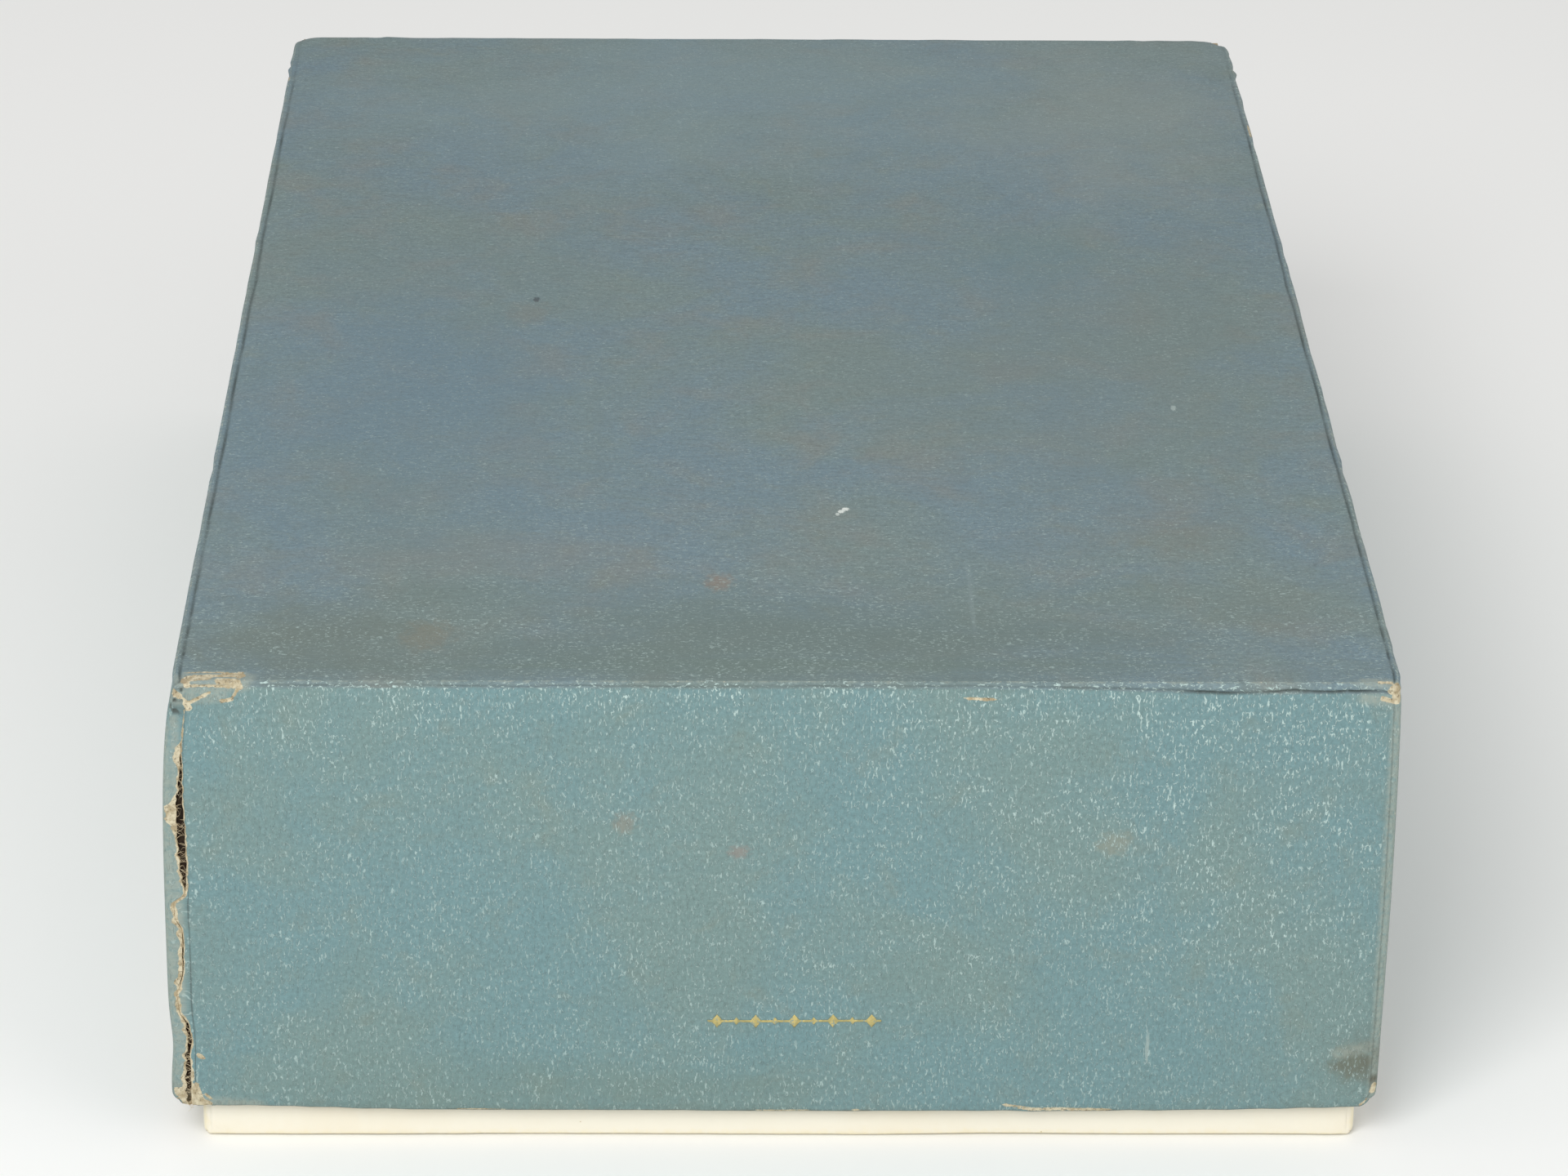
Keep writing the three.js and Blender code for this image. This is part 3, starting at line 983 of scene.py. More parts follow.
        # pale crests, partly rubbed wear and partly painted highlight
        colour = g.tint(colour, self.crest, crest, strength)
        colour = g.tint(colour, self.fleck, effects.dots(g, net, 2.6, 0.1, 0.2), 0.55)
        return g.tint(colour, self.speck, effects.dots(g, moved, 4.5, 0.14, 0.18), 0.5)

    def _worn(self, g: Graph, net: Socket, colour: Socket) -> Socket:
        """The colour with rubbed places, painted shade in the joints and creases, worn and chipped folds, and
        grime with painted shade under the rim.
        """
        rubbed = g.smooth(g.noise(net, 0.9, 4.0, 0.65), 0.3, 0.6, 0.25, 0.8)
        colour = g.tint(colour, self.rubbed, g.attribute("rubbed"), rubbed)
        # painted shade in the joints and creases, made patchy by noise
        crevice_shade_strength = g.smooth(g.noise(net, 0.7, 3.0, 0.6), 0.25, 0.5, 0.45, 0.9)
        colour = g.tint(colour, self.crevice, g.attribute("crevice"), crevice_shade_strength)
        ridge = g.attribute("ridge")
        wear = g.math("MULTIPLY_ADD", g.noise(g.stretch(net, 0.55, 0.55), 1.0, 4.0, 0.65), 1.5, -0.75)
        colour = g.tint(colour, self.rubbed, g.smooth(g.math("ADD", ridge, wear), 0.72, 1.15), 0.6)
        chips = g.math("MULTIPLY_ADD", g.noise(net, 0.8, 5.0, 0.7), 2.2, g.math("SUBTRACT", ridge, 1.45))
        colour = g.tint(colour, self.torn[0], g.smooth(chips, 0.85, 0.92), 0.85)
        # corner grime and painted shade under the rim, made patchy by noise
        grime = g.smooth(g.noise(net, 0.35, 4.0, 0.6), 0.25, 0.6)
        return g.tint(colour, self.grime_and_rim_shade_colour, g.attribute("soil"), grime)


@dataclass(frozen=True)
class CreamPaper:
    """The tray's covering and base: smooth cream paper, toned along its edges and specked with foxing."""

    fresh: Colour = srgb(235, 230, 214)
    toned: Colour = srgb(231, 222, 200)
    edge: Colour = srgb(233, 222, 188)
    fox: Colour = srgb(186, 164, 112)

    def build(self, effects: Effects, name: str, on_net: bool) -> bpy.types.Material:
        """Wires the finish.

        Args:
            effects: the shared node groups.
            name: the material's name.
            on_net: whether the piece has an unfolded sheet and edge marks to follow.

        Returns:
            The material.
        """
        g, shader = new_material(name)
        solid = g.solid()
        patches = effects.patches(g, solid, 24.0, 0.4, 0.68)
        colour = g.tint(self.fresh, self.toned, patches, 0.55)
        if on_net:
            ragged = g.math("MULTIPLY_ADD", g.noise(solid, 0.5, 4.0, 0.6), 1.2, g.attribute("ridge"))
            colour = g.tint(colour, self.edge, g.smooth(ragged, 0.95, 1.6), 0.65)
        spots = effects.dots(g, solid, 5.0, 0.17, 0.4)
        colour = g.tint(colour, self.fox, spots, 0.7)
        halo = effects.dots(g, solid, 19.0, 0.75, 0.3)
        colour = g.tint(colour, self.fox, halo, 0.22)
        fibre = g.group(effects.fibre, Vector=solid, Pitch=0.8)
        height = g.math("MULTIPLY_ADD", g.noise(solid, 0.25, 3.0), 0.6, fibre.outputs["Height"])
        rough = g.smooth(fibre.outputs["Tone"], 0.0, 1.0, 0.62, 0.74)
        finish_off(g, shader, colour, rough, height, 0.03, 0.3)
        return material_of(g)


@dataclass(frozen=True)
class PlainStock:
    """Raw stock with a fibrous face: greyboard, lining paper, kraft tape or torn paper."""

    name: str
    light: Colour
    dark: Colour
    pitch: float
    depth: float
    roughness: float
    speck: Colour
    speck_strength: float

    def build(self, effects: Effects) -> bpy.types.Material:
        """Wires the finish.

        Args:
            effects: the shared node groups.

        Returns:
            The material.
        """
        g, shader = new_material(self.name)
        solid = g.solid()
        fibre = g.group(effects.fibre, Vector=solid, Pitch=self.pitch)
        patches = effects.patches(g, solid, 16.0, 0.35, 0.7)
        tone = g.math("MULTIPLY_ADD", patches, 0.45, g.math("MULTIPLY", fibre.outputs["Tone"], 0.55))
        colour = g.mix(tone, self.light, self.dark)
        flecks = effects.dots(g, solid, 2.2, 0.16, 0.4)
        colour = g.tint(colour, self.speck, flecks, self.speck_strength)
        rough = g.smooth(fibre.outputs["Tone"], 0.0, 1.0, self.roughness - 0.05, self.roughness + 0.05)
        finish_off(g, shader, colour, rough, fibre.outputs["Height"], self.depth, 0.25)
        return material_of(g)


@dataclass(frozen=True)
class Foil:
    """Hot-stamped gold foil, rubbed through to the paper in places."""

    bright: Colour = srgb(206, 188, 122)
    dull: Colour = srgb(168, 158, 106)
    paper: Colour = srgb(118, 142, 138)

    def build(self, effects: Effects) -> bpy.types.Material:
        """Wires the finish.

        Args:
            effects: the shared node groups.

        Returns:
            The material.
        """
        g, shader = new_material("rubbed gold foil")
        solid = g.solid()
        tone = effects.patches(g, solid, 1.6, 0.35, 0.65)
        gold = g.mix(tone, self.bright, self.dull)
        gone = g.smooth(g.noise(solid, 1.3, 4.0, 0.7), 0.54, 0.62)
        colour = g.tint(gold, self.paper, gone, 0.8)
        grain = g.group(effects.fibre, Vector=solid, Pitch=0.5)
        finish_off(g, shader, colour, g.smooth(gone, 0.0, 1.0, 0.42, 0.6), grain.outputs["Height"], 0.04)
        g.feed(shader.inputs["Metallic"], g.smooth(gone, 0.0, 1.0, 0.55, 0.0))
        return material_of(g)


GREYBOARD = PlainStock(
    "greyboard", srgb(178, 164, 136), srgb(142, 128, 104), 0.5, 0.12, 0.9, srgb(96, 86, 70), 0.5
)
LINING = PlainStock(
    "lining paper", srgb(238, 233, 217), srgb(229, 221, 200), 0.7, 0.03, 0.8, srgb(196, 178, 138), 0.25
)
KRAFT = PlainStock(
    "kraft tape", srgb(188, 158, 112), srgb(166, 136, 92), 0.6, 0.05, 0.8, srgb(132, 104, 68), 0.4
)
TORN = PlainStock(
    "torn paper", srgb(226, 212, 180), srgb(190, 168, 130), 0.25, 0.1, 0.95, srgb(140, 112, 80), 0.4
)
# the torn tape in the split, painted dark brown: painted shadow of the dark gap behind it
TAPE_IN_GAP_SHADOW = PlainStock(
    "grimy torn tape", srgb(70, 56, 42), srgb(34, 26, 20), 0.3, 0.15, 0.95, srgb(150, 128, 96), 0.55
)


# --------------------------------------------------------------------------------------------------
# Lid
# --------------------------------------------------------------------------------------------------

FL, FR, BL, BR = Corner.FRONT_LEFT, Corner.FRONT_RIGHT, Corner.BACK_LEFT, Corner.BACK_RIGHT
TO_RIGHT_END = (45.0, 85.0)  # millimetres across, where the front changes towards its right end


@dataclass
class LidWear:
    """Everything that has happened to the lid: leaning walls, the split, scuffs, dents and a wavy rim."""

    plan: HalfPlan
    lean: Lean = Lean()
    split: Split = Split()
    scuffs: tuple[Scuff, ...] = (
        Scuff(FL, (3.2, 1.6, 0.0), (6.8, 1.7, 0.0), 1.15),
        Scuff(FL, (6.8, 2.4, 0.0), (10.2, 2.2, 0.0), 0.5),
        Scuff(FL, (2.2, 1.4, 0.0), (3.0, 0.2, 0.5), 0.7),
        Scuff(FL, (10.4, 2.9, 0.0), (13.2, 2.5, 0.0), 1.0),
        Scuff(FL, (12.9, 2.6, 0.0), (13.1, 0.0, 1.2), 0.7),
        Scuff(FL, (9.2, 0.5, 0.0), (12.6, 0.2, 0.4), 0.8),
        Scuff(FL, (36.0, 0.0, 1.3), (38.0, 0.0, 1.2), 0.3),
        Scuff(FR, (76.0, 0.0, 92.0), (70.0, 0.0, 92.3), 0.4),
        Scuff(FR, (68.0, 0.0, 92.9), (51.0, 0.0, 93.3), 0.35),
        Scuff(FR, (47.5, 0.0, 93.1), (44.5, 0.0, 93.3), 0.3),
        Scuff(FL, (50.0, 0.0, 93.4), (63.0, 0.0, 93.3), 0.2),
        Scuff(FR, (83.0, 0.0, 3.3), (77.0, 0.0, 3.5), 0.3),
        Scuff(FR, (77.0, 0.0, 3.5), (75.6, 0.0, 2.2), 0.5),
        Scuff(FL, (128.0, 0.0, 93.3), (134.0, 0.0, 93.3), 0.35),
        Scuff(FL, (112.0, 0.0, 93.4), (122.0, 0.0, 93.4), 0.25),
        Scuff(BR, (0.3, 60.0, 0.3), (0.3, 72.0, 0.3), 0.35),
        Scuff(BL, (0.3, 30.0, 0.3), (0.3, 36.0, 0.3), 0.35),
        Scuff(FL, (3.4, 0.1, 0.9), (12.4, 0.0, 1.2), 0.3),
        Scuff(FL, (2.4, 3.9, 0.0), (13.8, 3.8, 0.0), 0.24),
        Scuff(FL, (0.3, 0.5, 1.8), (1.4, 0.0, 2.8), 0.75),
        Scuff(FL, (1.4, 0.0, 2.8), (3.0, 0.0, 4.2), 0.3),
        Scuff(FL, (2.9, 0.0, 4.6), (3.3, 0.0, 5.6), 0.7),
        Scuff(FL, (3.6, 0.0, 4.4), (6.6, 0.0, 2.9), 0.36),
        Scuff(FL, (6.2, 0.0, 3.0), (7.4, 0.0, 2.4), 0.3),
        Scuff(FL, (9.6, 0.0, 4.2), (11.6, 0.0, 3.8), 0.42),
        Scuff(FL, (11.6, 0.0, 3.6), (12.8, 0.0, 1.6), 0.3),
        Scuff(FL, (-1.8, 0.0, 89.6), (-1.0, 0.0, 92.4), 0.7),
        Scuff(FL, (0.8, 0.0, 91.0), (4.2, 0.0, 93.0), 0.9),
        Scuff(FL, (2.0, 0.0, 88.2), (3.0, 0.0, 92.0), 0.5),
        Scuff(FL, (3.6, 0.0, 90.4), (4.8, 0.0, 91.6), 0.3),
        Scuff(FL, (2.4, 0.0, 81.3), (3.4, 0.0, 81.9), 0.5),
        Scuff(FR, (0.6, 0.4, 0.2), (0.9, 0.0, 3.4), 0.95),
        Scuff(FR, (0.9, 0.3, 0.6), (2.0, 0.0, 1.5), 0.75),
        Scuff(FR, (1.4, 0.0, 3.8), (3.6, 0.0, 3.1), 0.5),
        Scuff(FR, (1.6, 0.9, 0.0), (4.4, 0.6, 0.0), 0.4),
        Scuff(FR, (0.5, 0.0, 88.0), (0.9, 0.0, 89.8), 0.6),
        Scuff(FR, (1.2, 0.0, 92.4), (3.0, 0.0, 93.0), 0.3),
        Scuff(BR, (0.5, 0.5, 0.3), (2.6, 0.3, 0.0), 0.8),
        Scuff(BL, (0.5, 0.5, 0.2), (0.8, 0.3, 0.9), 0.5),
        Scuff(BR, (0.4, 0.4, 91.8), (0.4, 0.6, 93.2), 0.7),
        Scuff(BL, (0.4, 0.4, 92.2), (1.4, 0.2, 93.4), 0.6),
    )
    rubs: tuple[Scuff, ...] = (
        Scuff(FL, (3.0, 1.4, 0.0), (13.0, 1.4, 0.0), 3.0),
        Scuff(FL, (1.0, 0.0, 3.0), (9.0, 0.0, 2.5), 2.2),
        Scuff(FL, (-2.0, 0.0, 10.0), (-2.2, 0.0, 90.0), 1.8),
        Scuff(FL, (0.4, 0.0, 8.0), (-0.6, 0.0, 88.0), 1.2),
        Scuff(FR, (0.2, 0.0, 1.0), (0.2, 0.0, 92.0), 1.8),
        Scuff(FR, (1.0, 0.8, 0.0), (7.0, 0.8, 0.0), 1.6),
        Scuff(FR, (1.0, 0.0, 3.6), (7.0, 0.0, 3.2), 1.4),
        Scuff(FR, (1.0, 0.0, 79.0), (8.0, 0.0, 80.5), 1.6),
        Scuff(FL, (0.0, 0.0, 92.0), (14.0, 0.0, 93.2), 1.6),
        Scuff(BL, (0.0, 0.0, 1.0), (0.0, 0.0, 92.0), 1.6),
        Scuff(BR, (0.0, 0.0, 1.0), (0.0, 0.0, 92.0), 1.6),
    )
    dents: tuple[Dent, ...] = (
        Dent(FL, (0.0, 0.0, 0.0), 3.2, (0.5, 0.4, 1.1)),
        Dent(FL, (-2.6, 0.0, 79.0), 6.0, (0.6, 0.0, 0.0)),
        Dent(FL, (-2.8, 0.0, 93.6), 2.4, (0.2, 0.5, 0.0)),
        Dent(FR, (0.0, 0.0, 0.0), 2.6, (0.4, 0.4, 0.7)),
        Dent(FR, (0.0, 0.0, 93.6), 3.0, (0.2, 0.5, -0.5)),
        Dent(BL, (0.0, 0.0, 0.0), 3.0, (0.7, 0.9, 0.8)),
        Dent(BR, (0.0, 0.0, 0.0), 3.4, (0.9, 1.1, 0.9)),
    )
    roundings: tuple[Rounding, ...] = (
        Rounding(FL, 2.8, 3.2),
        Rounding(FR, 0.0, 3.2),
        Rounding(BL, 0.0, 2.2),
        Rounding(BR, 0.0, 2.6),
    )
    rim_knots: tuple[tuple[float, float], ...] = (
        (-117.0, 0.85), (-108.0, 0.95), (-96.0, 0.7), (-86.0, 0.3), (-70.0, 0.0), (-30.0, -0.15), (0.0, -0.3),
        (60.0, -0.25), (90.0, 0.05), (105.0, 0.45), (117.0, 0.75),
    )

    def settled(self, points: Array) -> Array:
        """Points after the rim's waves and the crushed corners.

        The rim is lifted by a curve read between knots across the front, which fades up the wall and towards
        the back, where a slight ripple takes its place.

        Args:
            points: places on the lid, its walls already leant.

        Returns:
            The moved points.
        """
        knots = np.array(self.rim_knots)
        fade_back = bell(points[..., 1] + self.plan.half_y, 60.0)
        lift = np.interp(points[..., 0], knots[:, 0], knots[:, 1]) * fade_back
        lift = lift + 0.22 * (1 - fade_back) * ripple(points[..., 0], points[..., 1], 90.0, 5)
        lift = lift + 0.07 * ripple(points[..., 0], points[..., 1], 9.0, 6)
        moved = np.array(points, float)
        moved[..., 2] += lift * np.exp(-np.maximum(points[..., 2], 0) / 9.0)
        moved = moved + sum(dent.moved(points, self.plan) for dent in self.dents)
        return moved + sum(rounding.moved(points, self.plan) for rounding in self.roundings)

    def bareness(self, points: Array) -> Array:
        """How deep inside the nearest scuff each point lies, no lower than -1.5."""
        return np.maximum(np.max([scuff.depth(points, self.plan) for scuff in self.scuffs], axis=0), -1.5)

    def rubbed(self, points: Array) -> Array:
        """How rubbed each point is, from 0 to 1: eased in over the outer millimetre of the nearest rub."""
        return ease(np.max([rub.depth(points, self.plan) for rub in self.rubs], axis=0), -0.4, 1.0)


@dataclass
class LidCovering:
    """The lid's covering paper: one sheet over the top and down the walls, turned in round the rim."""

    plan: HalfPlan
    wear: LidWear
    top_radius: float = 0.8
    corner_radius: float = 1.0
    split_column: float = 2.2
    flap_left: tuple[float, float] = (2.76, 2.84)
    flap_right: tuple[float, float] = (1.46, 1.54)
    remap_end: float = 4.3
    flap_step: float = 0.2
    turn_in: float = 18.0

    def __post_init__(self) -> None:
        """Lays out the grid, finest round the split and the worn corners, and the wrap round the walls."""
        hx, hy = self.plan.half_x, self.plan.half_y
        low, high, r = *self.flap_left, self.top_radius
        round_split = ((self.split_column, 0.22), (low - 0.06, 0.12), (low, 0.06), (high, 0.08))
        left = graded((r, 0.16), *round_split, (self.remap_end, 0.24), (14.6, 0.42), (24, 1.6), (hx, 5.0))
        low, high = self.flap_right
        right = graded((r, 0.16), (low, 0.19), (high, 0.08), (5.0, 0.3), (10, 0.8), (24, 1.8), (hx, 5.0))
        front = graded((r, 0.16), (5.4, 0.35), (12, 1.1), (30, 3.0), (hy, 6.5))
        back = graded((r, 0.16), (4.0, 0.5), (12, 1.3), (30, 3.0), (hy, 6.5))
        xs = np.concatenate([left - hx, (hx - right)[::-1][1:]])
        ys = np.concatenate([front - hy, (hy - back)[::-1][1:]])
        self.start = int(np.argmin(abs(xs + hx - self.split_column)))
        insets, heights = self._profile()
        self.wrap = Wrap(self.plan, xs, ys, insets, heights, self.corner_radius, self.start)
        self.down = self.plan.height - heights

    def _profile(self) -> tuple[Array, Array]:
        """The wall's section: a quarter circle at the top edge, the wall, a rounded rim and the turn-in."""
        height, r = self.plan.height, self.top_radius
        bend = np.linspace(0, np.pi / 2, 6)
        rim, inner, face = 0.5, 0.5, TURN_IN_FACE
        near_top = ((2.6 - r, 0.16), (6.6 - r, 0.3), (12 - r, 0.6))
        wall = graded(*near_top, (height - 6 - r, 0.7), (height - rim - r, 0.5))[1:]
        curl, tuck = np.linspace(0, np.pi / 2, 5)[1:], np.linspace(0, np.pi / 2, 4)
        inset = [
            r * (1 - np.sin(bend)),
            0 * wall,
            rim * (1 - np.cos(curl)),
            face - inner + inner * np.sin(tuck),
            np.full(4, face),
        ]
        level = [
            height - r * (1 - np.cos(bend)),
            height - r - wall,
            rim * (1 - np.sin(curl)),
            inner * (1 - np.cos(tuck)),
            np.array([2.0, 5.0, 10.0, self.turn_in]),
        ]
        return np.concatenate(inset), np.concatenate(level)

    def _sideways(self) -> Array:
        """How far each wall point moves along X: the walls' lean, and the split parting the front's paper.

        Left of the split the paper goes with the wall, squeezed between the corner and the left lip. To its
        right, the tab runs from the right lip to the flap's edge, and the flap is true again at its far side.
        """
        plan, wrap, lean = self.plan, self.wrap, self.wear.lean
        down = np.clip(self.down, 0, plan.height)[:, None]
        along = wrap.points[..., 1] + plan.half_y
        out_left = lean.outset(-1, along, down, plan)
        out_right = lean.outset(1, along, down, plan)
        shift = np.zeros(wrap.points.shape[:-1])
        inboard = np.broadcast_to(wrap.x + plan.half_x, shift.shape)
        outboard = 2 * plan.half_x - inboard
        shift -= out_left * (inboard < 0.01)
        shift += out_right * bell(outboard, lean.end_fade)

        lips = self.wear.split.at(down[:, 0])
        left, right, flap = (lips[:, c, None] for c in range(3))
        spring = lean.outset(-1, 0.0, down, plan)
        corner, split, edge, end = self.top_radius, self.split_column, sum(self.flap_left) / 2, self.remap_end
        strip = np.clip((inboard - corner) / (split - corner), 0, 1)
        strip = (corner - spring) * (1 - strip) + left * strip
        tab = right + (flap - right) * np.clip((inboard - split) / (edge - split), 0, 1)
        cloth = flap + (end - flap) * np.clip((inboard - edge) / (end - edge), 0, 1)
        last = np.arange(len(wrap.ring_i)) > len(wrap.ring_i) // 2
        parted = np.select(
            [last & (inboard < corner), last, inboard < edge, inboard < end],
            [inboard - spring, strip, tab, cloth],
            inboard,
        )
        front = (wrap.ring_j == 0) & (wrap.x + plan.half_x < end)
        return np.where(front, parted - inboard, shift)

    def _wall_relief(self, place: Array) -> tuple[Array, Array]:
        """The walls' relief along their outward direction: warp, joints in the board, flaps and soft edges.

        Args:
            place: the wall points before they lean.

        Returns:
            Millimetres outwards, and how deep in the joints and creases each point lies, from 0 to 1, which
            the finish paints as shade.
        """
        plan, wrap = self.plan, self.wrap
        x, y = place[..., 0], place[..., 1]
        down = np.broadcast_to(self.down[:, None], x.shape)
        clear_of_rim = (self.down < plan.height - 1.2) & (wrap.insets < 1)
        outer = np.broadcast_to(clear_of_rim[:, None], x.shape)
        end_wall = (wrap.ring_j == 0) | (wrap.ring_j == len(wrap.ys) - 1)
        front = wrap.ring_j == 0
        travel = np.where(end_wall, x, y)
        warp = 0.16 * ripple(travel, down, 75.0, 11) + 0.05 * ripple(travel, down, 17.0, 12)
        warp = warp * ease(down, 1.0, 14.0) * ease(plan.half_x - abs(x) + plan.half_y - abs(y), 0.5, 9.0)
        inboard, outboard = x + plan.half_x, plan.half_x - x
        opened = ease(x, *TO_RIGHT_END)
        strength = 0.4 + 0.6 * opened
        strength = np.where(front, strength, 0.5) * end_wall * (0.85 + 0.25 * ripple(x, y, 9.0, 15))
        wander = 0.24 * ripple(x, 0 * x, 21.0, 13) + 0.1 * ripple(x, 0 * x, 5.0, 14)
        joint = strength * bell(down - 0.85 - 1.1 * opened - wander, 0.2 + 0.13 * opened)
        bead = 0.16 * opened * bell(down - 1.0, 0.6) * (1 + 0.8 * ripple(x, y, 4.0, 16))
        fade_in = ease(down, 1.2, 4.5)
        low, high = self.flap_left
        grid_inboard = np.broadcast_to(wrap.x + plan.half_x, x.shape)
        flap = ease(grid_inboard, low, high)
        flap_foot = bell(grid_inboard - low, 0.05) * front * ease(down, 4.0, 9.0)
        low, high = self.flap_right
        flap = flap * ease(2 * plan.half_x - grid_inboard, low, high) * end_wall
        flap_foot = flap_foot + 0.3 * bell(2 * plan.half_x - grid_inboard - low, 0.2) * end_wall * fade_in
        upright = (bell(outboard - 2.3, 0.35) + (~front) * bell(inboard - 2.3, 0.35)) * end_wall * fade_in
        creases = bell(inboard - 0.8, 1.6) * bell(down - 5.0, 4.5) * front
        crumple = 0.3 * ripple(inboard, down, 1.9, 17) * creases
        knocks = 0.14 * ripple(travel, 0 * travel, 5.0, 18) * ripple(travel, 0 * travel, 31.0, 19)
        knocks = knocks * bell(down - 0.6, 1.3)
        # this mask is painted as shade in the finish
        crevice = joint + 0.8 * flap_foot + 0.1 * upright + ease(-crumple, 0.05, 0.2)
        relief = warp + knocks - 0.4 * joint + bead
        relief = relief + self.flap_step * flap * fade_in - 0.12 * upright + crumple
        return relief * outer, (crevice * outer).clip(0, 1)

    def _top_relief(self, x: Array, y: Array) -> tuple[Array, Array]:
        """The top's relief upwards: warp, and the joints beside the long edges, which weaken at the back.

        Args:
            x: places across, after rounding.
            y: places along.

        Returns:
            Millimetres upwards, and how deep in the joints beside the long edges each point lies, from 0 to
            1, which the finish paints as shade.
        """
        plan = self.plan
        inboard, outboard, along = x + plan.half_x, plan.half_x - x, y + plan.half_y
        from_edge = np.minimum(np.minimum(inboard, outboard), np.minimum(along, 2 * plan.half_y - along))
        warp = (0.2 * ripple(x, y, 120.0, 21) + 0.05 * ripple(x, y, 22.0, 22)) * ease(from_edge, 1.5, 18.0)
        weak = 1 - 0.75 * ease(along, 2 * plan.half_y - 70, 2 * plan.half_y - 12)
        nip = 1 - 0.8 * bell(along - 61.0, 5.0)
        wander = 0.12 * ripple(y, 0 * y, 34.0, 23) + 0.05 * ripple(y, 0 * y, 7.0, 25)
        dashes = 0.8 + 0.3 * ripple(y, 0 * y, 6.0, 24)
        left = nip * bell(inboard - 1.6 - wander, 0.3)
        right = bell(outboard - 1.25 - wander, 0.26)
        # this mask deepens the joints and is painted as shade in the finish
        crevice = (left + right) * weak * dashes
        return warp - 0.4 * crevice, (0.75 * crevice).clip(0, 1)

    def _torn_relief(self, bare: Array) -> Array:
        """Lost paper lies low, and the paper round it curls up slightly."""
        return -0.13 * ease(bare, -0.1, 0.25) + 0.06 * bell(bare + 0.2, 0.22)

    def build(self, material: bpy.types.Material) -> bpy.types.Object:
        """Works out the whole sheet and makes it.

        Args:
            material: the covering's finish.

        Returns:
            The covering.
        """
        plan, wrap, wear = self.plan, self.wrap, self.wear
        nx, ny = len(wrap.xs), len(wrap.ys)
        gx, gy = np.meshgrid(wrap.xs, wrap.ys, indexing="ij")
        tx, ty, _, _ = rounded_plan(gx, gy, plan, self.top_radius, self.corner_radius)
        top = np.stack([tx, ty, np.full(tx.shape, plan.height)], -1)
        top_bare = wear.bareness(top)
        top_relief, top_crevice_shade = self._top_relief(tx, ty)
        top[..., 2] += top_relief + self._torn_relief(top_bare)

        walls = wrap.points.copy()
        shift = self._sideways()
        moved = walls + np.stack([shift, 0 * shift, 0 * shift], -1)
        inboard = moved[..., 0] + plan.half_x
        lips = wear.split.at(np.clip(self.down, 0, plan.height))
        below = (self.down > wear.split.top)[:, None] & (wrap.ring_j == 0)
        last = np.arange(len(wrap.ring_i)) > len(wrap.ring_i) // 2
        from_left = lips[:, 3, None] - (lips[:, 0, None] - inboard)
        from_right = lips[:, 4, None] - (inboard - lips[:, 1, None])
        at_split = np.where(below, np.where(last, from_left, from_right), -1.5)
        bare = np.maximum(wear.bareness(moved), np.clip(at_split, -1.5, None))
        relief, crevice = self._wall_relief(walls)
        relief = relief + self._torn_relief(bare) * (wrap.insets < 1.5)[:, None]
        walls = moved + relief[..., None] * wrap.outward

        ids = np.arange(nx * ny, nx * ny + walls[..., 0].size).reshape(walls.shape[:2])
        ids[0] = wrap.ring_i * ny + wrap.ring_j
        welded = self.down <= wear.split.top
        ids[welded, -1] = ids[welded, 0]
        number = np.arange(nx * ny).reshape(nx, ny)
        flat = grid_quads(number)
        quads = np.concatenate([flat.reshape(-1, 4), grid_quads(ids).reshape(-1, 4)])
        flat_net = np.stack([gx, gy], -1).reshape(-1, 2)[flat.reshape(-1)]
        net = np.concatenate([flat_net, wrap.net(self.top_radius).reshape(-1, 2)])

        corner_gap = plan.half_x - abs(wrap.x) + plan.half_y - abs(wrap.y)
        rim_gap = np.where(wrap.insets < 1.5, plan.height - self.down, 0)[:, None]
        edge_gap = np.minimum(np.minimum(self.down[:, None], rim_gap * 1.3), corner_gap)
        top_gap = np.minimum(plan.half_x - abs(tx), plan.half_y - abs(ty))
        marks = {
            "bare": (top_bare, bare),
            "ridge": (np.exp(-top_gap / 1.1), np.exp(-edge_gap / 1.1)),
            "upward": (np.ones(top_gap.shape), self._upward(walls)),
            "crevice": (top_crevice_shade, crevice),
            "rubbed": (wear.rubbed(top), wear.rubbed(moved)),
            "crests": (0.34 + 0.3 * bell(ty + plan.half_y, 75.0), self._crests(moved)),
            "soil": (self._grime_and_rim_shade(top), self._grime_and_rim_shade(moved)),
        }
        self.settled_walls = wear.settled(walls)
        everything = np.concatenate([wear.settled(top).reshape(-1, 3), self.settled_walls.reshape(-1, 3)])
        joined = {name: np.concatenate([a.ravel(), b.ravel()]) for name, (a, b) in marks.items()}
        used, quads = np.unique(quads, return_inverse=True)
        kept = {name: values[used] for name, values in joined.items()}
        sheet = Sheet(everything[used], quads.reshape(-1, 4), net, kept)
        piece = sheet.make("lid_covering", plan, material)
        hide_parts("lid_cover_paper")
        return piece

    def _upward(self, points: Array) -> Array:
        """How far each wall point takes the top's colour, which is partly painted shade: it gives way below
        the edge, later at the right.
        """
        down = self.down[:, None] - 0.9 * ease(points[..., 0], *TO_RIGHT_END)
        return 1 - ease(down, 0.7, 1.9)

    def _crests(self, points: Array) -> Array:
        """How brightly the grain's pale crests show, partly rubbed wear and partly painted highlight: more
        along the top edge, and more to the right.
        """
        across, down = points[..., 0], self.plan.height - points[..., 2]
        to_right = 0.5 + 0.32 * ease(across, -20.0, 95.0) * ease(-down, -90.0, -20.0)
        return 1.35 * to_right + 0.35 * bell(down - 4.0, 9.0) + 0.4 * bell(down - 1.4, 1.3)

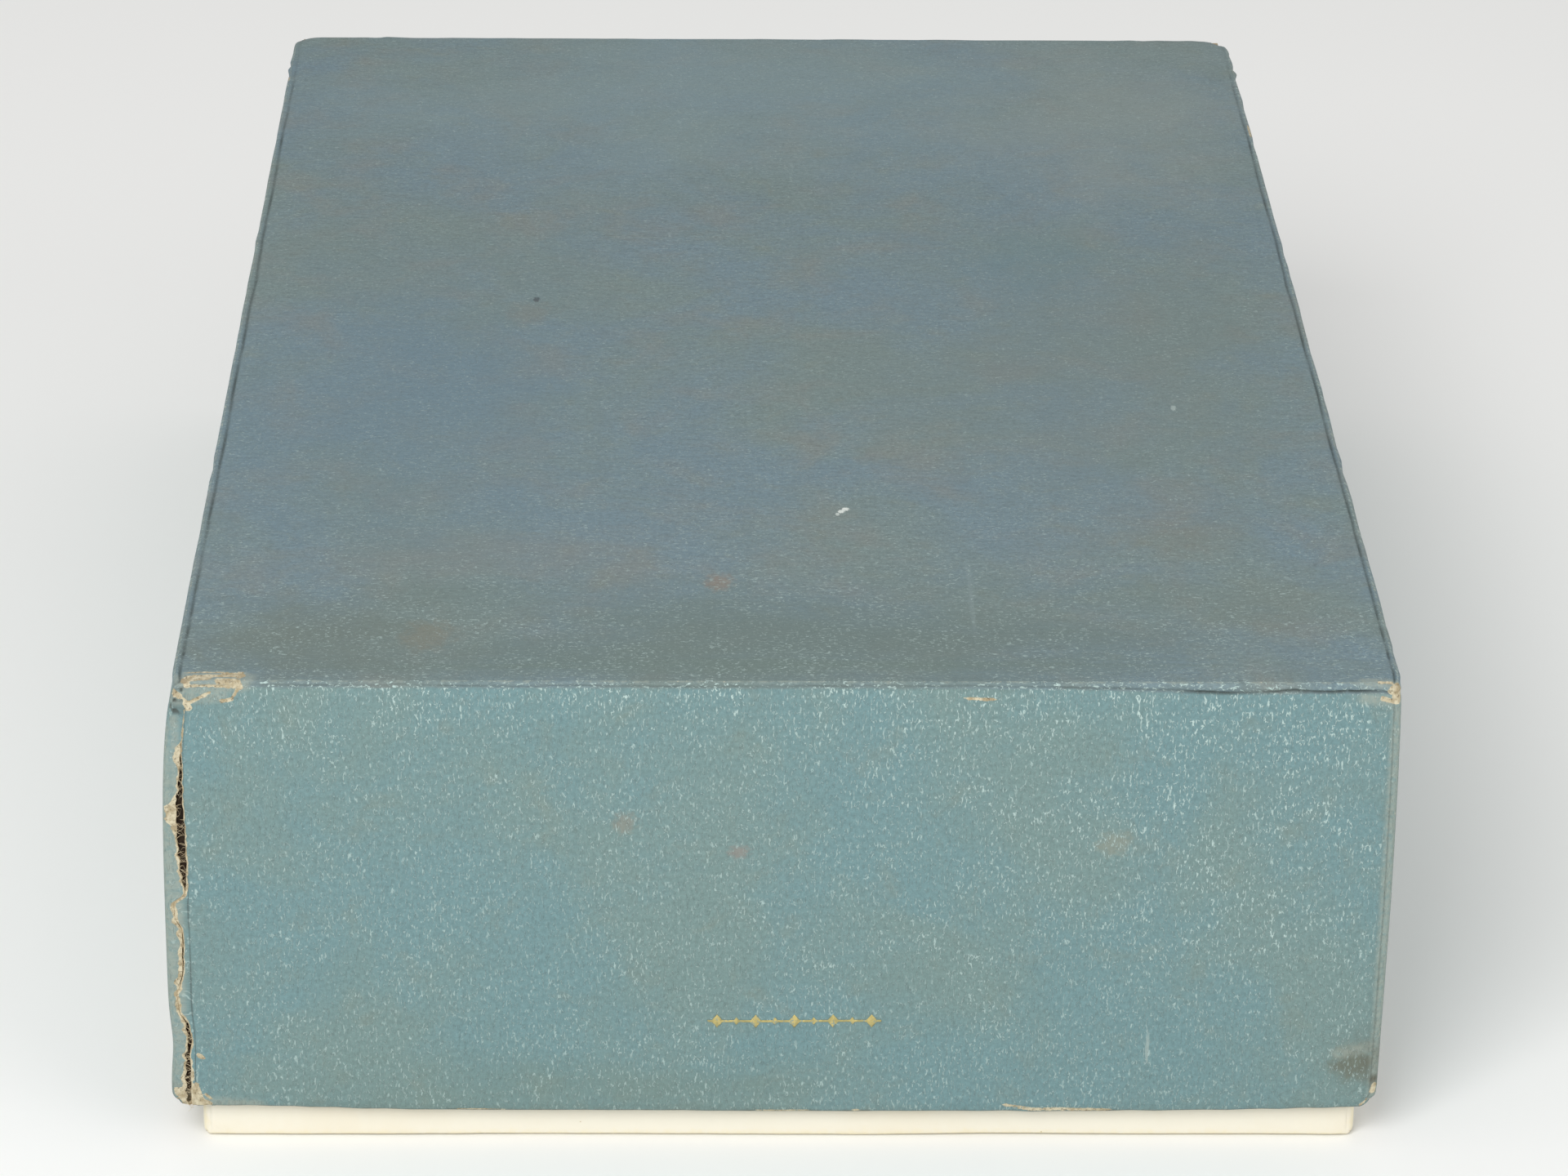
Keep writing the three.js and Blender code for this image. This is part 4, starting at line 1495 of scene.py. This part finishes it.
    def _grime_and_rim_shade(self, points: Array) -> Array:
        """Grime round the crushed corners, the sum of bell curves of the distance from each, and painted
        shade along the rim's underside.
        """
        grime = (
            (FR, (2.0, 0.0, 82.0), 6.5, 0.45),
            (FR, (0.7, 0.0, 86.8), 0.9, 1.0),
            (FL, (-1.0, 0.0, 91.0), 5.0, 0.25),
            (FL, (1.0, 0.0, 4.5), 3.0, 0.4),
        )
        total = np.zeros(points.shape[:-1])
        for corner, centre, radius, strength in grime:
            local = self.plan.from_corner(points, corner)
            total += strength * bell(np.linalg.norm(local - np.array(centre), axis=-1), radius)
        # painted shade: a dark band along the rim's underside
        under_rim = 0.9 * bell(points[..., 2].clip(0, None), 0.35)
        return (total + under_rim).clip(0, 1)


@dataclass
class LidBoards:
    """The greyboard walls inside the lid, which follow its lean and its crushed corners."""

    plan: HalfPlan
    wear: LidWear

    def build(self, material: bpy.types.Material) -> list[bpy.types.Object]:
        """Makes the four walls.

        Args:
            material: greyboard.

        Returns:
            The boards.
        """
        plan, wear = self.plan, self.wear
        out_x, in_x = plan.half_x - BOARD_OUTER, plan.half_x - BOARD_INNER
        out_y, in_y = plan.half_y - BOARD_OUTER, plan.half_y - BOARD_INNER
        long_way = graded((12, 1.0), (60, 6.0), (2 * out_y - 12, 14.0), (2 * out_y, 1.5)) - out_y
        across = graded((10, 1.2), (2 * (in_x - BOARD_GAP) - 10, 8.0), (2 * (in_x - BOARD_GAP), 1.2))
        across = across - (in_x - BOARD_GAP)
        up = BOARD_OUTER + graded((8, 0.8), (plan.height - 2 * BOARD_OUTER, 4.0))
        end_up = BOARD_OUTER + graded((8, 0.8), (plan.height - BOARD_INNER - BOARD_GAP - BOARD_OUTER, 4.0))
        walls = {
            "left": (np.array([-out_x, -in_x]), long_way, up, -1),
            "right": (np.array([in_x, out_x]), long_way, up, 1),
            "front": (across, np.array([-out_y, -in_y]), end_up, 0),
            "back": (across, np.array([in_y, out_y]), end_up, 0),
        }
        made = []
        for name, (xs, ys, zs, side) in walls.items():
            points, quads = box_shell(xs, ys, zs)
            if side:
                along, down = points[:, 1] + plan.half_y, plan.height - points[:, 2]
                points[:, 0] += side * wear.lean.outset(side, along, down, plan)
            sheet = Sheet(wear.settled(points), quads)
            piece = sheet.make(f"lid_wall_board_{name}", plan, material)
            piece.data.polygons.foreach_set("use_smooth", np.zeros(len(piece.data.polygons), bool))
            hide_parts(f"lid_{name}_board")
            made.append(piece)
        return made


@dataclass
class TornCorner:
    """What shows in the split: curled lips of torn paper, hairs of fibre, and the tape behind, painted dark
    brown as the shadow in the gap.
    """

    plan: HalfPlan
    covering: LidCovering
    lip_depth: float = 0.55
    fibres: int = 240
    seed: int = 41

    def _lips(self) -> tuple[Array, Array]:
        """The covering's two lips below the split's top, right then left."""
        rows = (self.covering.down > self.covering.wear.split.top) & (self.covering.wrap.insets < 0.5)
        walls = self.covering.settled_walls
        return walls[rows, 0], walls[rows, -1]

    def _lip_strip(self, lip: Array, toward: float, seed: int) -> tuple[Array, Array]:
        """A ragged strip from a lip inwards, its far edge wandering towards the gap.

        Args:
            lip: the lip's points.
            toward: the sign along X of the way into the gap.
            seed: picks the ragged edge.

        Returns:
            The strip's points and faces, pointing into the gap.
        """
        steps = np.linspace(0, 1, 4)[None, :]
        down = lip[:, 2:3]
        ragged = 0.5 + 0.5 * ripple(down, 0 * down, 2.2, seed) * ripple(down, 0 * down, 6.0, seed + 1)
        x = lip[:, 0:1] + toward * ragged * 0.16 * np.sin(steps * np.pi * 0.9)
        y = lip[:, 1:2] - 0.03 * np.sin(steps * np.pi) + self.lip_depth * steps * (0.7 + 0.5 * ragged)
        points = np.stack([x, y, np.broadcast_to(down, x.shape)], -1)
        ids = np.arange(x.size).reshape(x.shape)
        return points.reshape(-1, 3), grid_quads(ids, toward > 0).reshape(-1, 4)

    def _hairs(self, right: Array, left: Array) -> tuple[Array, Array]:
        """Thin bent hairs that start on a lip and reach part of the way, or all of it, across the gap.

        Each hair is a three-sided tube on a parabola from its root to its tip, with a seeded root, reach,
        droop and thickness.

        Args:
            right: the right lip's points.
            left: the left lip's points.

        Returns:
            The hairs' points and faces.
        """
        rng = np.random.default_rng(self.seed)
        row = rng.integers(4, len(left) - 1, self.fibres)
        from_left = rng.random(self.fibres) < 0.55
        root = np.where(from_left[:, None], left[row], right[row])
        gap = np.abs(right[row, 0] - left[row, 0])
        side = np.where(from_left, 1.0, -1.0)
        reach = np.minimum(rng.uniform(0.25, 1.1, self.fibres) * (gap + 0.25), 1.5) * side
        rise = rng.normal(0, 0.8, self.fibres)
        tip = root + np.stack([reach, rng.uniform(-0.25, 0.5, self.fibres), rise], -1)
        bow = np.stack([0 * gap, rng.uniform(-0.35, 0.2, self.fibres), rng.normal(0, 0.35, self.fibres)], -1)
        t = np.linspace(0, 1, 6)[None, :, None]
        spine = root[:, None] * (1 - t) + tip[:, None] * t + bow[:, None] * 4 * t * (1 - t)
        angle = np.arange(3) * 2 * np.pi / 3
        thick = rng.uniform(0.03, 0.075, self.fibres)[:, None, None, None] * (1 - 0.7 * t[..., None])
        offset = np.stack([0 * angle, np.cos(angle), np.sin(angle)], -1)[None, None]
        points = spine[:, :, None] + thick * offset
        ids = np.arange(points[..., 0].size).reshape(points.shape[:3])
        around = np.roll(ids, -1, axis=2)
        quads = np.stack([ids[:, :-1], ids[:, 1:], around[:, 1:], around[:, :-1]], -1)
        return points.reshape(-1, 3), quads.reshape(-1, 4)

    def _tape(self) -> tuple[Array, Array]:
        """The torn tape: a crumpled strip from the side board's end to the front board's."""
        plan, wear = self.plan, self.covering.wear
        down = np.linspace(6.0, plan.height - 3.5, 110)[:, None]
        spring = wear.lean.outset(-1, 0.0, down, plan)
        low, high = BOARD_INNER + 0.1 - spring, BOARD_INNER + 0.02 + 0 * spring
        t = np.linspace(0, 1, 9)[None, :]
        x = -plan.half_x + low * (1 - t) + high * t
        z = plan.height - down + 0 * t
        sunk = 1.15 + 0.25 * ripple(x, z, 2.0, 51) + 0.15 * ripple(x, z, 0.7, 52)
        points = wear.settled(np.stack([x, -plan.half_y + sunk, z], -1))
        ids = np.arange(x.size).reshape(x.shape)
        return points.reshape(-1, 3), grid_quads(ids).reshape(-1, 4)

    def build(self, torn: bpy.types.Material, tape_in_gap_shadow: bpy.types.Material) -> list[bpy.types.Object]:
        """Makes the lips, the hairs and the tape.

        Args:
            torn: torn paper's finish.
            tape_in_gap_shadow: the tape's finish, painted dark brown as the gap's shadow.

        Returns:
            The pieces.
        """
        right, left = self._lips()
        left_points, left_quads = self._lip_strip(left, 1.0, 61)
        right_points, right_quads = self._lip_strip(right, -1.0, 71)
        points = np.concatenate([left_points, right_points])
        quads = np.concatenate([left_quads, right_quads + len(left_points)])
        made = [
            Sheet(points, quads).make("lid_split_lips", self.plan, torn),
            Sheet(*self._hairs(right, left)).make("lid_split_hairs", self.plan, torn),
            Sheet(*self._tape()).make("lid_torn_tape", self.plan, tape_in_gap_shadow),
        ]
        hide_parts("lid_corner_tape_front_left")
        return made


@dataclass
class CornerTapes:
    """The kraft tape that joins a half's boards: strips folded round its corners, under the covering."""

    plan: HalfPlan
    corners: tuple[Corner, ...]
    wear: LidWear | None = None
    outer: float = 0.45
    inner: float = 0.53
    leg: float = 20.0
    end_gap: float = 5.0

    def _strip(self, corner: Corner) -> tuple[Array, Array]:
        """One folded strip, from a flat one of travel and depth.

        Travel runs along the end wall to the fold at zero, then along the side wall. Inboard is the larger of
        minus the travel and the depth, and along the side is the larger of the travel and the depth.

        Args:
            corner: the corner it is folded round.

        Returns:
            Its points and faces.
        """
        leg = graded((2, 1.0), (self.leg, 6.0))
        travel = np.concatenate([-leg[::-1], leg[1:]])
        up = self.end_gap + graded((self.plan.height - 2 * self.end_gap, 2.0))
        flat, quads = box_shell(travel, np.array([self.outer, self.inner]), up)
        inboard, along = np.maximum(-flat[:, 0], flat[:, 1]), np.maximum(flat[:, 0], flat[:, 1])
        sign_x, sign_y = corner.value
        x, y = sign_x * (self.plan.half_x - inboard), sign_y * (self.plan.half_y - along)
        points = np.stack([x, y, flat[:, 2]], -1)
        if self.wear:
            points[:, 0] += self.wear.lean.carried(points, sign_x, self.plan)
            points = self.wear.settled(points)
        return points, quads[:, ::-1] if sign_x * sign_y > 0 else quads

    def build(self, material: bpy.types.Material) -> list[bpy.types.Object]:
        """Makes a strip for each corner, in place of its CAD one.

        Args:
            material: kraft tape.

        Returns:
            The strips.
        """
        made = []
        for corner in self.corners:
            name = f"{self.plan.body}_corner_tape_{corner.name.lower()}"
            piece = Sheet(*self._strip(corner)).make(f"{name}_folded", self.plan, material)
            piece.data.polygons.foreach_set("use_smooth", np.zeros(len(piece.data.polygons), bool))
            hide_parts(name)
            made.append(piece)
        return made


@dataclass
class FoilOrnament:
    """A printer's ornament stamped in foil on the lid's front: a rule threaded through lozenges and dots."""

    plan: HalfPlan
    centre: tuple[float, float] = (2.1, 20.3)
    length: float = 34.0
    tall: float = 2.9
    rule: float = 0.42
    lozenges: int = 9
    proud: float = 0.1

    def build(self, surface: LidCovering, material: bpy.types.Material) -> bpy.types.Object:
        """Makes the ornament as one thin closed plate laid on the paper's own surface.

        Its outline above the centre line is the larger of the rule's half width and each lozenge's, which
        falls evenly from its middle, and the outline below mirrors it.

        Args:
            surface: the covering it is stamped on.
            material: the foil's finish.

        Returns:
            The ornament.
        """
        plan = self.plan
        across = np.linspace(-self.length / 2, self.length / 2, 361)
        pitch = self.length / self.lozenges
        index = np.clip(np.floor((across + self.length / 2) / pitch), 0, self.lozenges - 1)
        off = abs(across + self.length / 2 - (index + 0.5) * pitch)
        size = np.where(index % 2 == 0, self.tall / 2, self.tall * 0.28)
        half = np.maximum(self.rule / 2, size - off * 1.25)
        t = np.linspace(-1, 1, 7)[:, None]
        x = self.centre[0] + across[None, :] + 0 * t
        z = self.centre[1] + half[None, :] * t
        walls, rows = surface.settled_walls, surface.wrap.ring_j == 0
        inset_rows = surface.wrap.insets < 0.5
        line = walls[inset_rows][:, rows]
        near = line[np.argmin(abs(line[:, 0, 2] - self.centre[1]))]
        order = np.argsort(near[:, 0])
        y = np.interp(x, near[order, 0], near[order, 1])
        front = np.stack([x, y - self.proud, z], -1)
        back = front + np.array([0, self.proud * 0.9, 0])
        points = np.concatenate([front.reshape(-1, 3), back.reshape(-1, 3)])
        ids = np.arange(x.size).reshape(x.shape)
        face = np.stack([ids[:-1, :-1], ids[:-1, 1:], ids[1:, 1:], ids[1:, :-1]], -1).reshape(-1, 4)
        loop = np.concatenate([ids[0, :-1], ids[:-1, -1], ids[-1, :0:-1], ids[:0:-1, 0]])
        after = np.roll(loop, -1)
        side = np.stack([loop, loop + x.size, after + x.size, after], -1)
        quads = np.concatenate([face, face[:, ::-1] + x.size, side])
        piece = Sheet(points, quads).make("lid_stamped_ornament", plan, material)
        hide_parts("lid_foil_ornament")
        return piece


# --------------------------------------------------------------------------------------------------
# Tray
# --------------------------------------------------------------------------------------------------


@dataclass
class TrayCovering:
    """The tray's covering: cream paper round the walls, turned over the rim and under the base."""

    plan: HalfPlan
    corner_radius: float = 1.4
    foot_radius: float = 0.6
    foot_corner: float = 1.5
    rim_radius: float = 1.0
    turn_in: float = 18.0
    turn_under: float = 15.0
    flap: tuple[float, float] = (1.5, 1.6)
    flap_step: float = 0.18

    def _profile(self) -> tuple[Array, Array]:
        """The wall's section: down the inside, over the rim, down the outside, round the foot and under."""
        height, rim, foot, face = self.plan.height, self.rim_radius, self.foot_radius, TURN_IN_FACE
        curl = np.linspace(0, np.pi / 2, 5)
        edge = 0.5
        wall = graded((6, 1.0), (height - 16, 6.0), (height - rim - foot, 0.7))[1:-1]
        inset = [
            np.full(3, face),
            face - edge + edge * np.cos(curl),
            rim * (1 - np.sin(curl)),
            0 * wall,
            foot * (1 - np.cos(curl)),
            np.array([4.0, 8.0, self.turn_under]),
        ]
        level = [
            height - np.array([self.turn_in, 10.0, 3.0]),
            height - edge + edge * np.sin(curl),
            height - rim + rim * np.cos(curl),
            height - rim - wall,
            foot * (1 - np.sin(curl)),
            np.zeros(3),
        ]
        return np.concatenate(inset), np.concatenate(level)

    def build(self, material: bpy.types.Material) -> bpy.types.Object:
        """Works out the covering and makes it.

        Args:
            material: the cream paper's finish.

        Returns:
            The covering.
        """
        plan = self.plan
        low, high = self.flap
        ends = ((1.4, 0.2), (low, 0.2), (high, 0.1), (6, 0.5), (20, 2.0), (plan.half_x, 5.0))
        side = graded(*ends)
        xs = np.concatenate([side - plan.half_x, (plan.half_x - side)[::-1][1:]])
        lengthways = graded((1.4, 0.2), (6, 0.6), (20, 2.0), (plan.half_y, 7.0))
        ys = np.concatenate([lengthways - plan.half_y, (plan.half_y - lengthways)[::-1][1:]])
        insets, heights = self._profile()
        wrap = Wrap(plan, xs, ys, insets, heights, self.corner_radius, len(side) - 1)
        place = wrap.points
        x, y, z = place[..., 0], place[..., 1], place[..., 2]
        end_wall = (wrap.ring_j == 0) | (wrap.ring_j == len(ys) - 1)
        outside = (insets < 0.4)[:, None]
        travel = np.where(end_wall, x, y)
        warp = 0.12 * ripple(travel, z, 70.0, 81) + 0.04 * ripple(travel, z, 12.0, 82)
        gap = plan.half_x - abs(wrap.x)
        flap = ease(gap, low, high) * end_wall * self.flap_step
        fade = ease(z, 0.5, 2.5)
        relief = (warp * ease(gap + plan.half_y - abs(wrap.y), 0.5, 8.0) + flap * fade) * outside
        points = place + relief[..., None] * wrap.outward
        sag = 0.1 * ripple(travel, 0 * travel, 60.0, 83) * bell(z, 4.0)
        points[..., 2] += np.maximum(sag, 0)
        roundings = [Rounding(corner, 0.0, self.foot_corner, 3.0) for corner in Corner]
        points = points + sum(rounding.moved(points, plan) for rounding in roundings)
        ids = np.arange(x.size).reshape(x.shape)
        ids[:, -1] = ids[:, 0]
        travelled = wrap.net(0.0).reshape(-1, 2)
        corner = gap + plan.half_y - abs(wrap.y)
        edge = np.minimum(np.minimum(z, plan.height - z), corner)
        used, quads = np.unique(grid_quads(ids), return_inverse=True)
        ridge = np.exp(-edge / 1.5).ravel()[used]
        sheet = Sheet(points.reshape(-1, 3)[used], quads.reshape(-1, 4), travelled, {"ridge": ridge})
        piece = sheet.make("tray_covering", plan, material)
        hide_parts("tray_cover_paper")
        return piece


def dress_cad_nodes(materials: dict[str, bpy.types.Material]) -> None:
    """Gives the CAD nodes that stay their procedural finishes, by the record's material slots.

    Args:
        materials: the finish for each slot.
    """
    slots = {part["node"]: part["material_slot"] for part in frame["record"]["subparts"]}
    for name, node in frame["nodes"].items():
        if node.hide_render:
            continue
        node.data.materials.clear()
        node.data.materials.append(materials[slots[name]])
        log.info("%s keeps its CAD shape, in %s", name, slots[name])


# --------------------------------------------------------------------------------------------------
# Studio
# --------------------------------------------------------------------------------------------------


@dataclass(frozen=True)
class Softbox:
    """A square area light that points at the box."""

    name: str
    azimuth: float
    elevation: float
    distance: float
    size: float
    power: float

    def place(self, aim: Array) -> None:
        """Puts the light on its bearing from the aim, which 0 degrees puts straight in front."""
        turn, rise = math.radians(self.azimuth), math.radians(self.elevation)
        away = np.array([math.sin(turn) * math.cos(rise), -math.cos(turn) * math.cos(rise), math.sin(rise)])
        light = bpy.data.lights.new(self.name, "AREA")
        light.size, light.energy = self.size, self.power
        lamp = bpy.data.objects.new(self.name, light)
        lamp.location = aim + away * self.distance
        lamp.rotation_euler = (math.pi / 2 - rise, 0, turn)
        bpy.context.scene.collection.objects.link(lamp)


@dataclass(frozen=True)
class Studio:
    """A pale floor, soft light and the camera."""

    camera_place: tuple[float, float, float] = (-0.02096, -1.1272, 0.5531)
    heading: float = 1.25
    pitch: float = 24.68
    roll: float = 0.66
    lens: float = 126.1
    sensor: float = 36.0
    ambient: float = 0.62
    floor_colour: Colour = srgb(250, 250, 248)
    lights: tuple[Softbox, ...] = (
        Softbox("key", -24, 40, 1.6, 0.8, 14.0),
        Softbox("fill", 48, 24, 1.8, 1.0, 4.5),
    )

    def build(self) -> None:
        """Sets up the world, the floor, the lights and the camera."""
        scene = bpy.context.scene
        scene.view_settings.view_transform = "Standard"
        world = bpy.data.worlds.new("studio")
        world.use_nodes = True
        background = world.node_tree.nodes["Background"]
        background.inputs["Color"].default_value = (1, 1, 1, 1)
        background.inputs["Strength"].default_value = self.ambient
        scene.world = world
        self._floor()
        aim = np.array([0, -0.1, 0.05])
        for light in self.lights:
            light.place(aim)
        self._camera()

    def _floor(self) -> None:
        """A wide flat sheet just under the tray."""
        half = 6.0
        corners = [(-half, -half, 0), (half, -half, 0), (half, half, 0), (-half, half, 0)]
        mesh = bpy.data.meshes.new("floor")
        mesh.from_pydata(corners, [], [(0, 1, 2, 3)])
        floor = bpy.data.objects.new("floor", mesh)
        bpy.context.scene.collection.objects.link(floor)
        g, shader = new_material("pale floor")
        g.feed(shader.inputs["Base Color"], self.floor_colour)
        shader.inputs["Roughness"].default_value = 0.9
        shader.inputs["Specular IOR Level"].default_value = 0.0
        mesh.materials.append(material_of(g))

    def _camera(self) -> None:
        """The camera looks along the box from its front end, turned, tipped down and rolled a little."""
        data = bpy.data.cameras.new("camera")
        data.lens, data.sensor_width = self.lens, self.sensor
        data.clip_end = 20
        camera = bpy.data.objects.new("camera", data)
        turn = Matrix.Rotation(math.radians(-self.heading), 4, "Z")
        tip = Matrix.Rotation(math.radians(90 - self.pitch), 4, "X")
        roll = Matrix.Rotation(math.radians(self.roll), 4, "Z")
        camera.matrix_world = Matrix.Translation(self.camera_place) @ turn @ tip @ roll
        bpy.context.scene.collection.objects.link(camera)
        bpy.context.scene.camera = camera


# --------------------------------------------------------------------------------------------------


def main() -> None:
    """Builds the finishes, the lid, the tray and the studio, in that order."""
    logging.basicConfig(level=logging.INFO, format="%(message)s")
    lid = HalfPlan.read("lid", "lid_top_board")
    tray = HalfPlan.read("tray", "tray_base_board")
    log.info("lid %s", lid)
    log.info("tray %s", tray)

    effects = Effects()
    leather = LeatherPaper().build(effects)
    cream = CreamPaper().build(effects, "cream covering paper", True)
    greyboard, lining, kraft = GREYBOARD.build(effects), LINING.build(effects), KRAFT.build(effects)
    torn, tape_in_gap_shadow, foil = TORN.build(effects), TAPE_IN_GAP_SHADOW.build(effects), Foil().build(effects)

    wear = LidWear(lid)
    covering = LidCovering(lid, wear)
    covering.build(leather)
    LidBoards(lid, wear).build(greyboard)
    TornCorner(lid, covering).build(torn, tape_in_gap_shadow)
    FoilOrnament(lid).build(covering, foil)
    CornerTapes(lid, (FR, BL, BR), wear).build(kraft)
    TrayCovering(tray).build(cream)
    CornerTapes(tray, (FL, FR, BL, BR)).build(kraft)
    dress_cad_nodes({
        "greyboard": greyboard,
        "kraft_tape": kraft,
        "lining_paper": lining,
        "cream_paper": CreamPaper().build(effects, "cream base paper", False),
        "blue_green_paper": leather,
        "gold_foil": foil,
    })
    Studio().build()


if __name__ == "__main__":
    main()
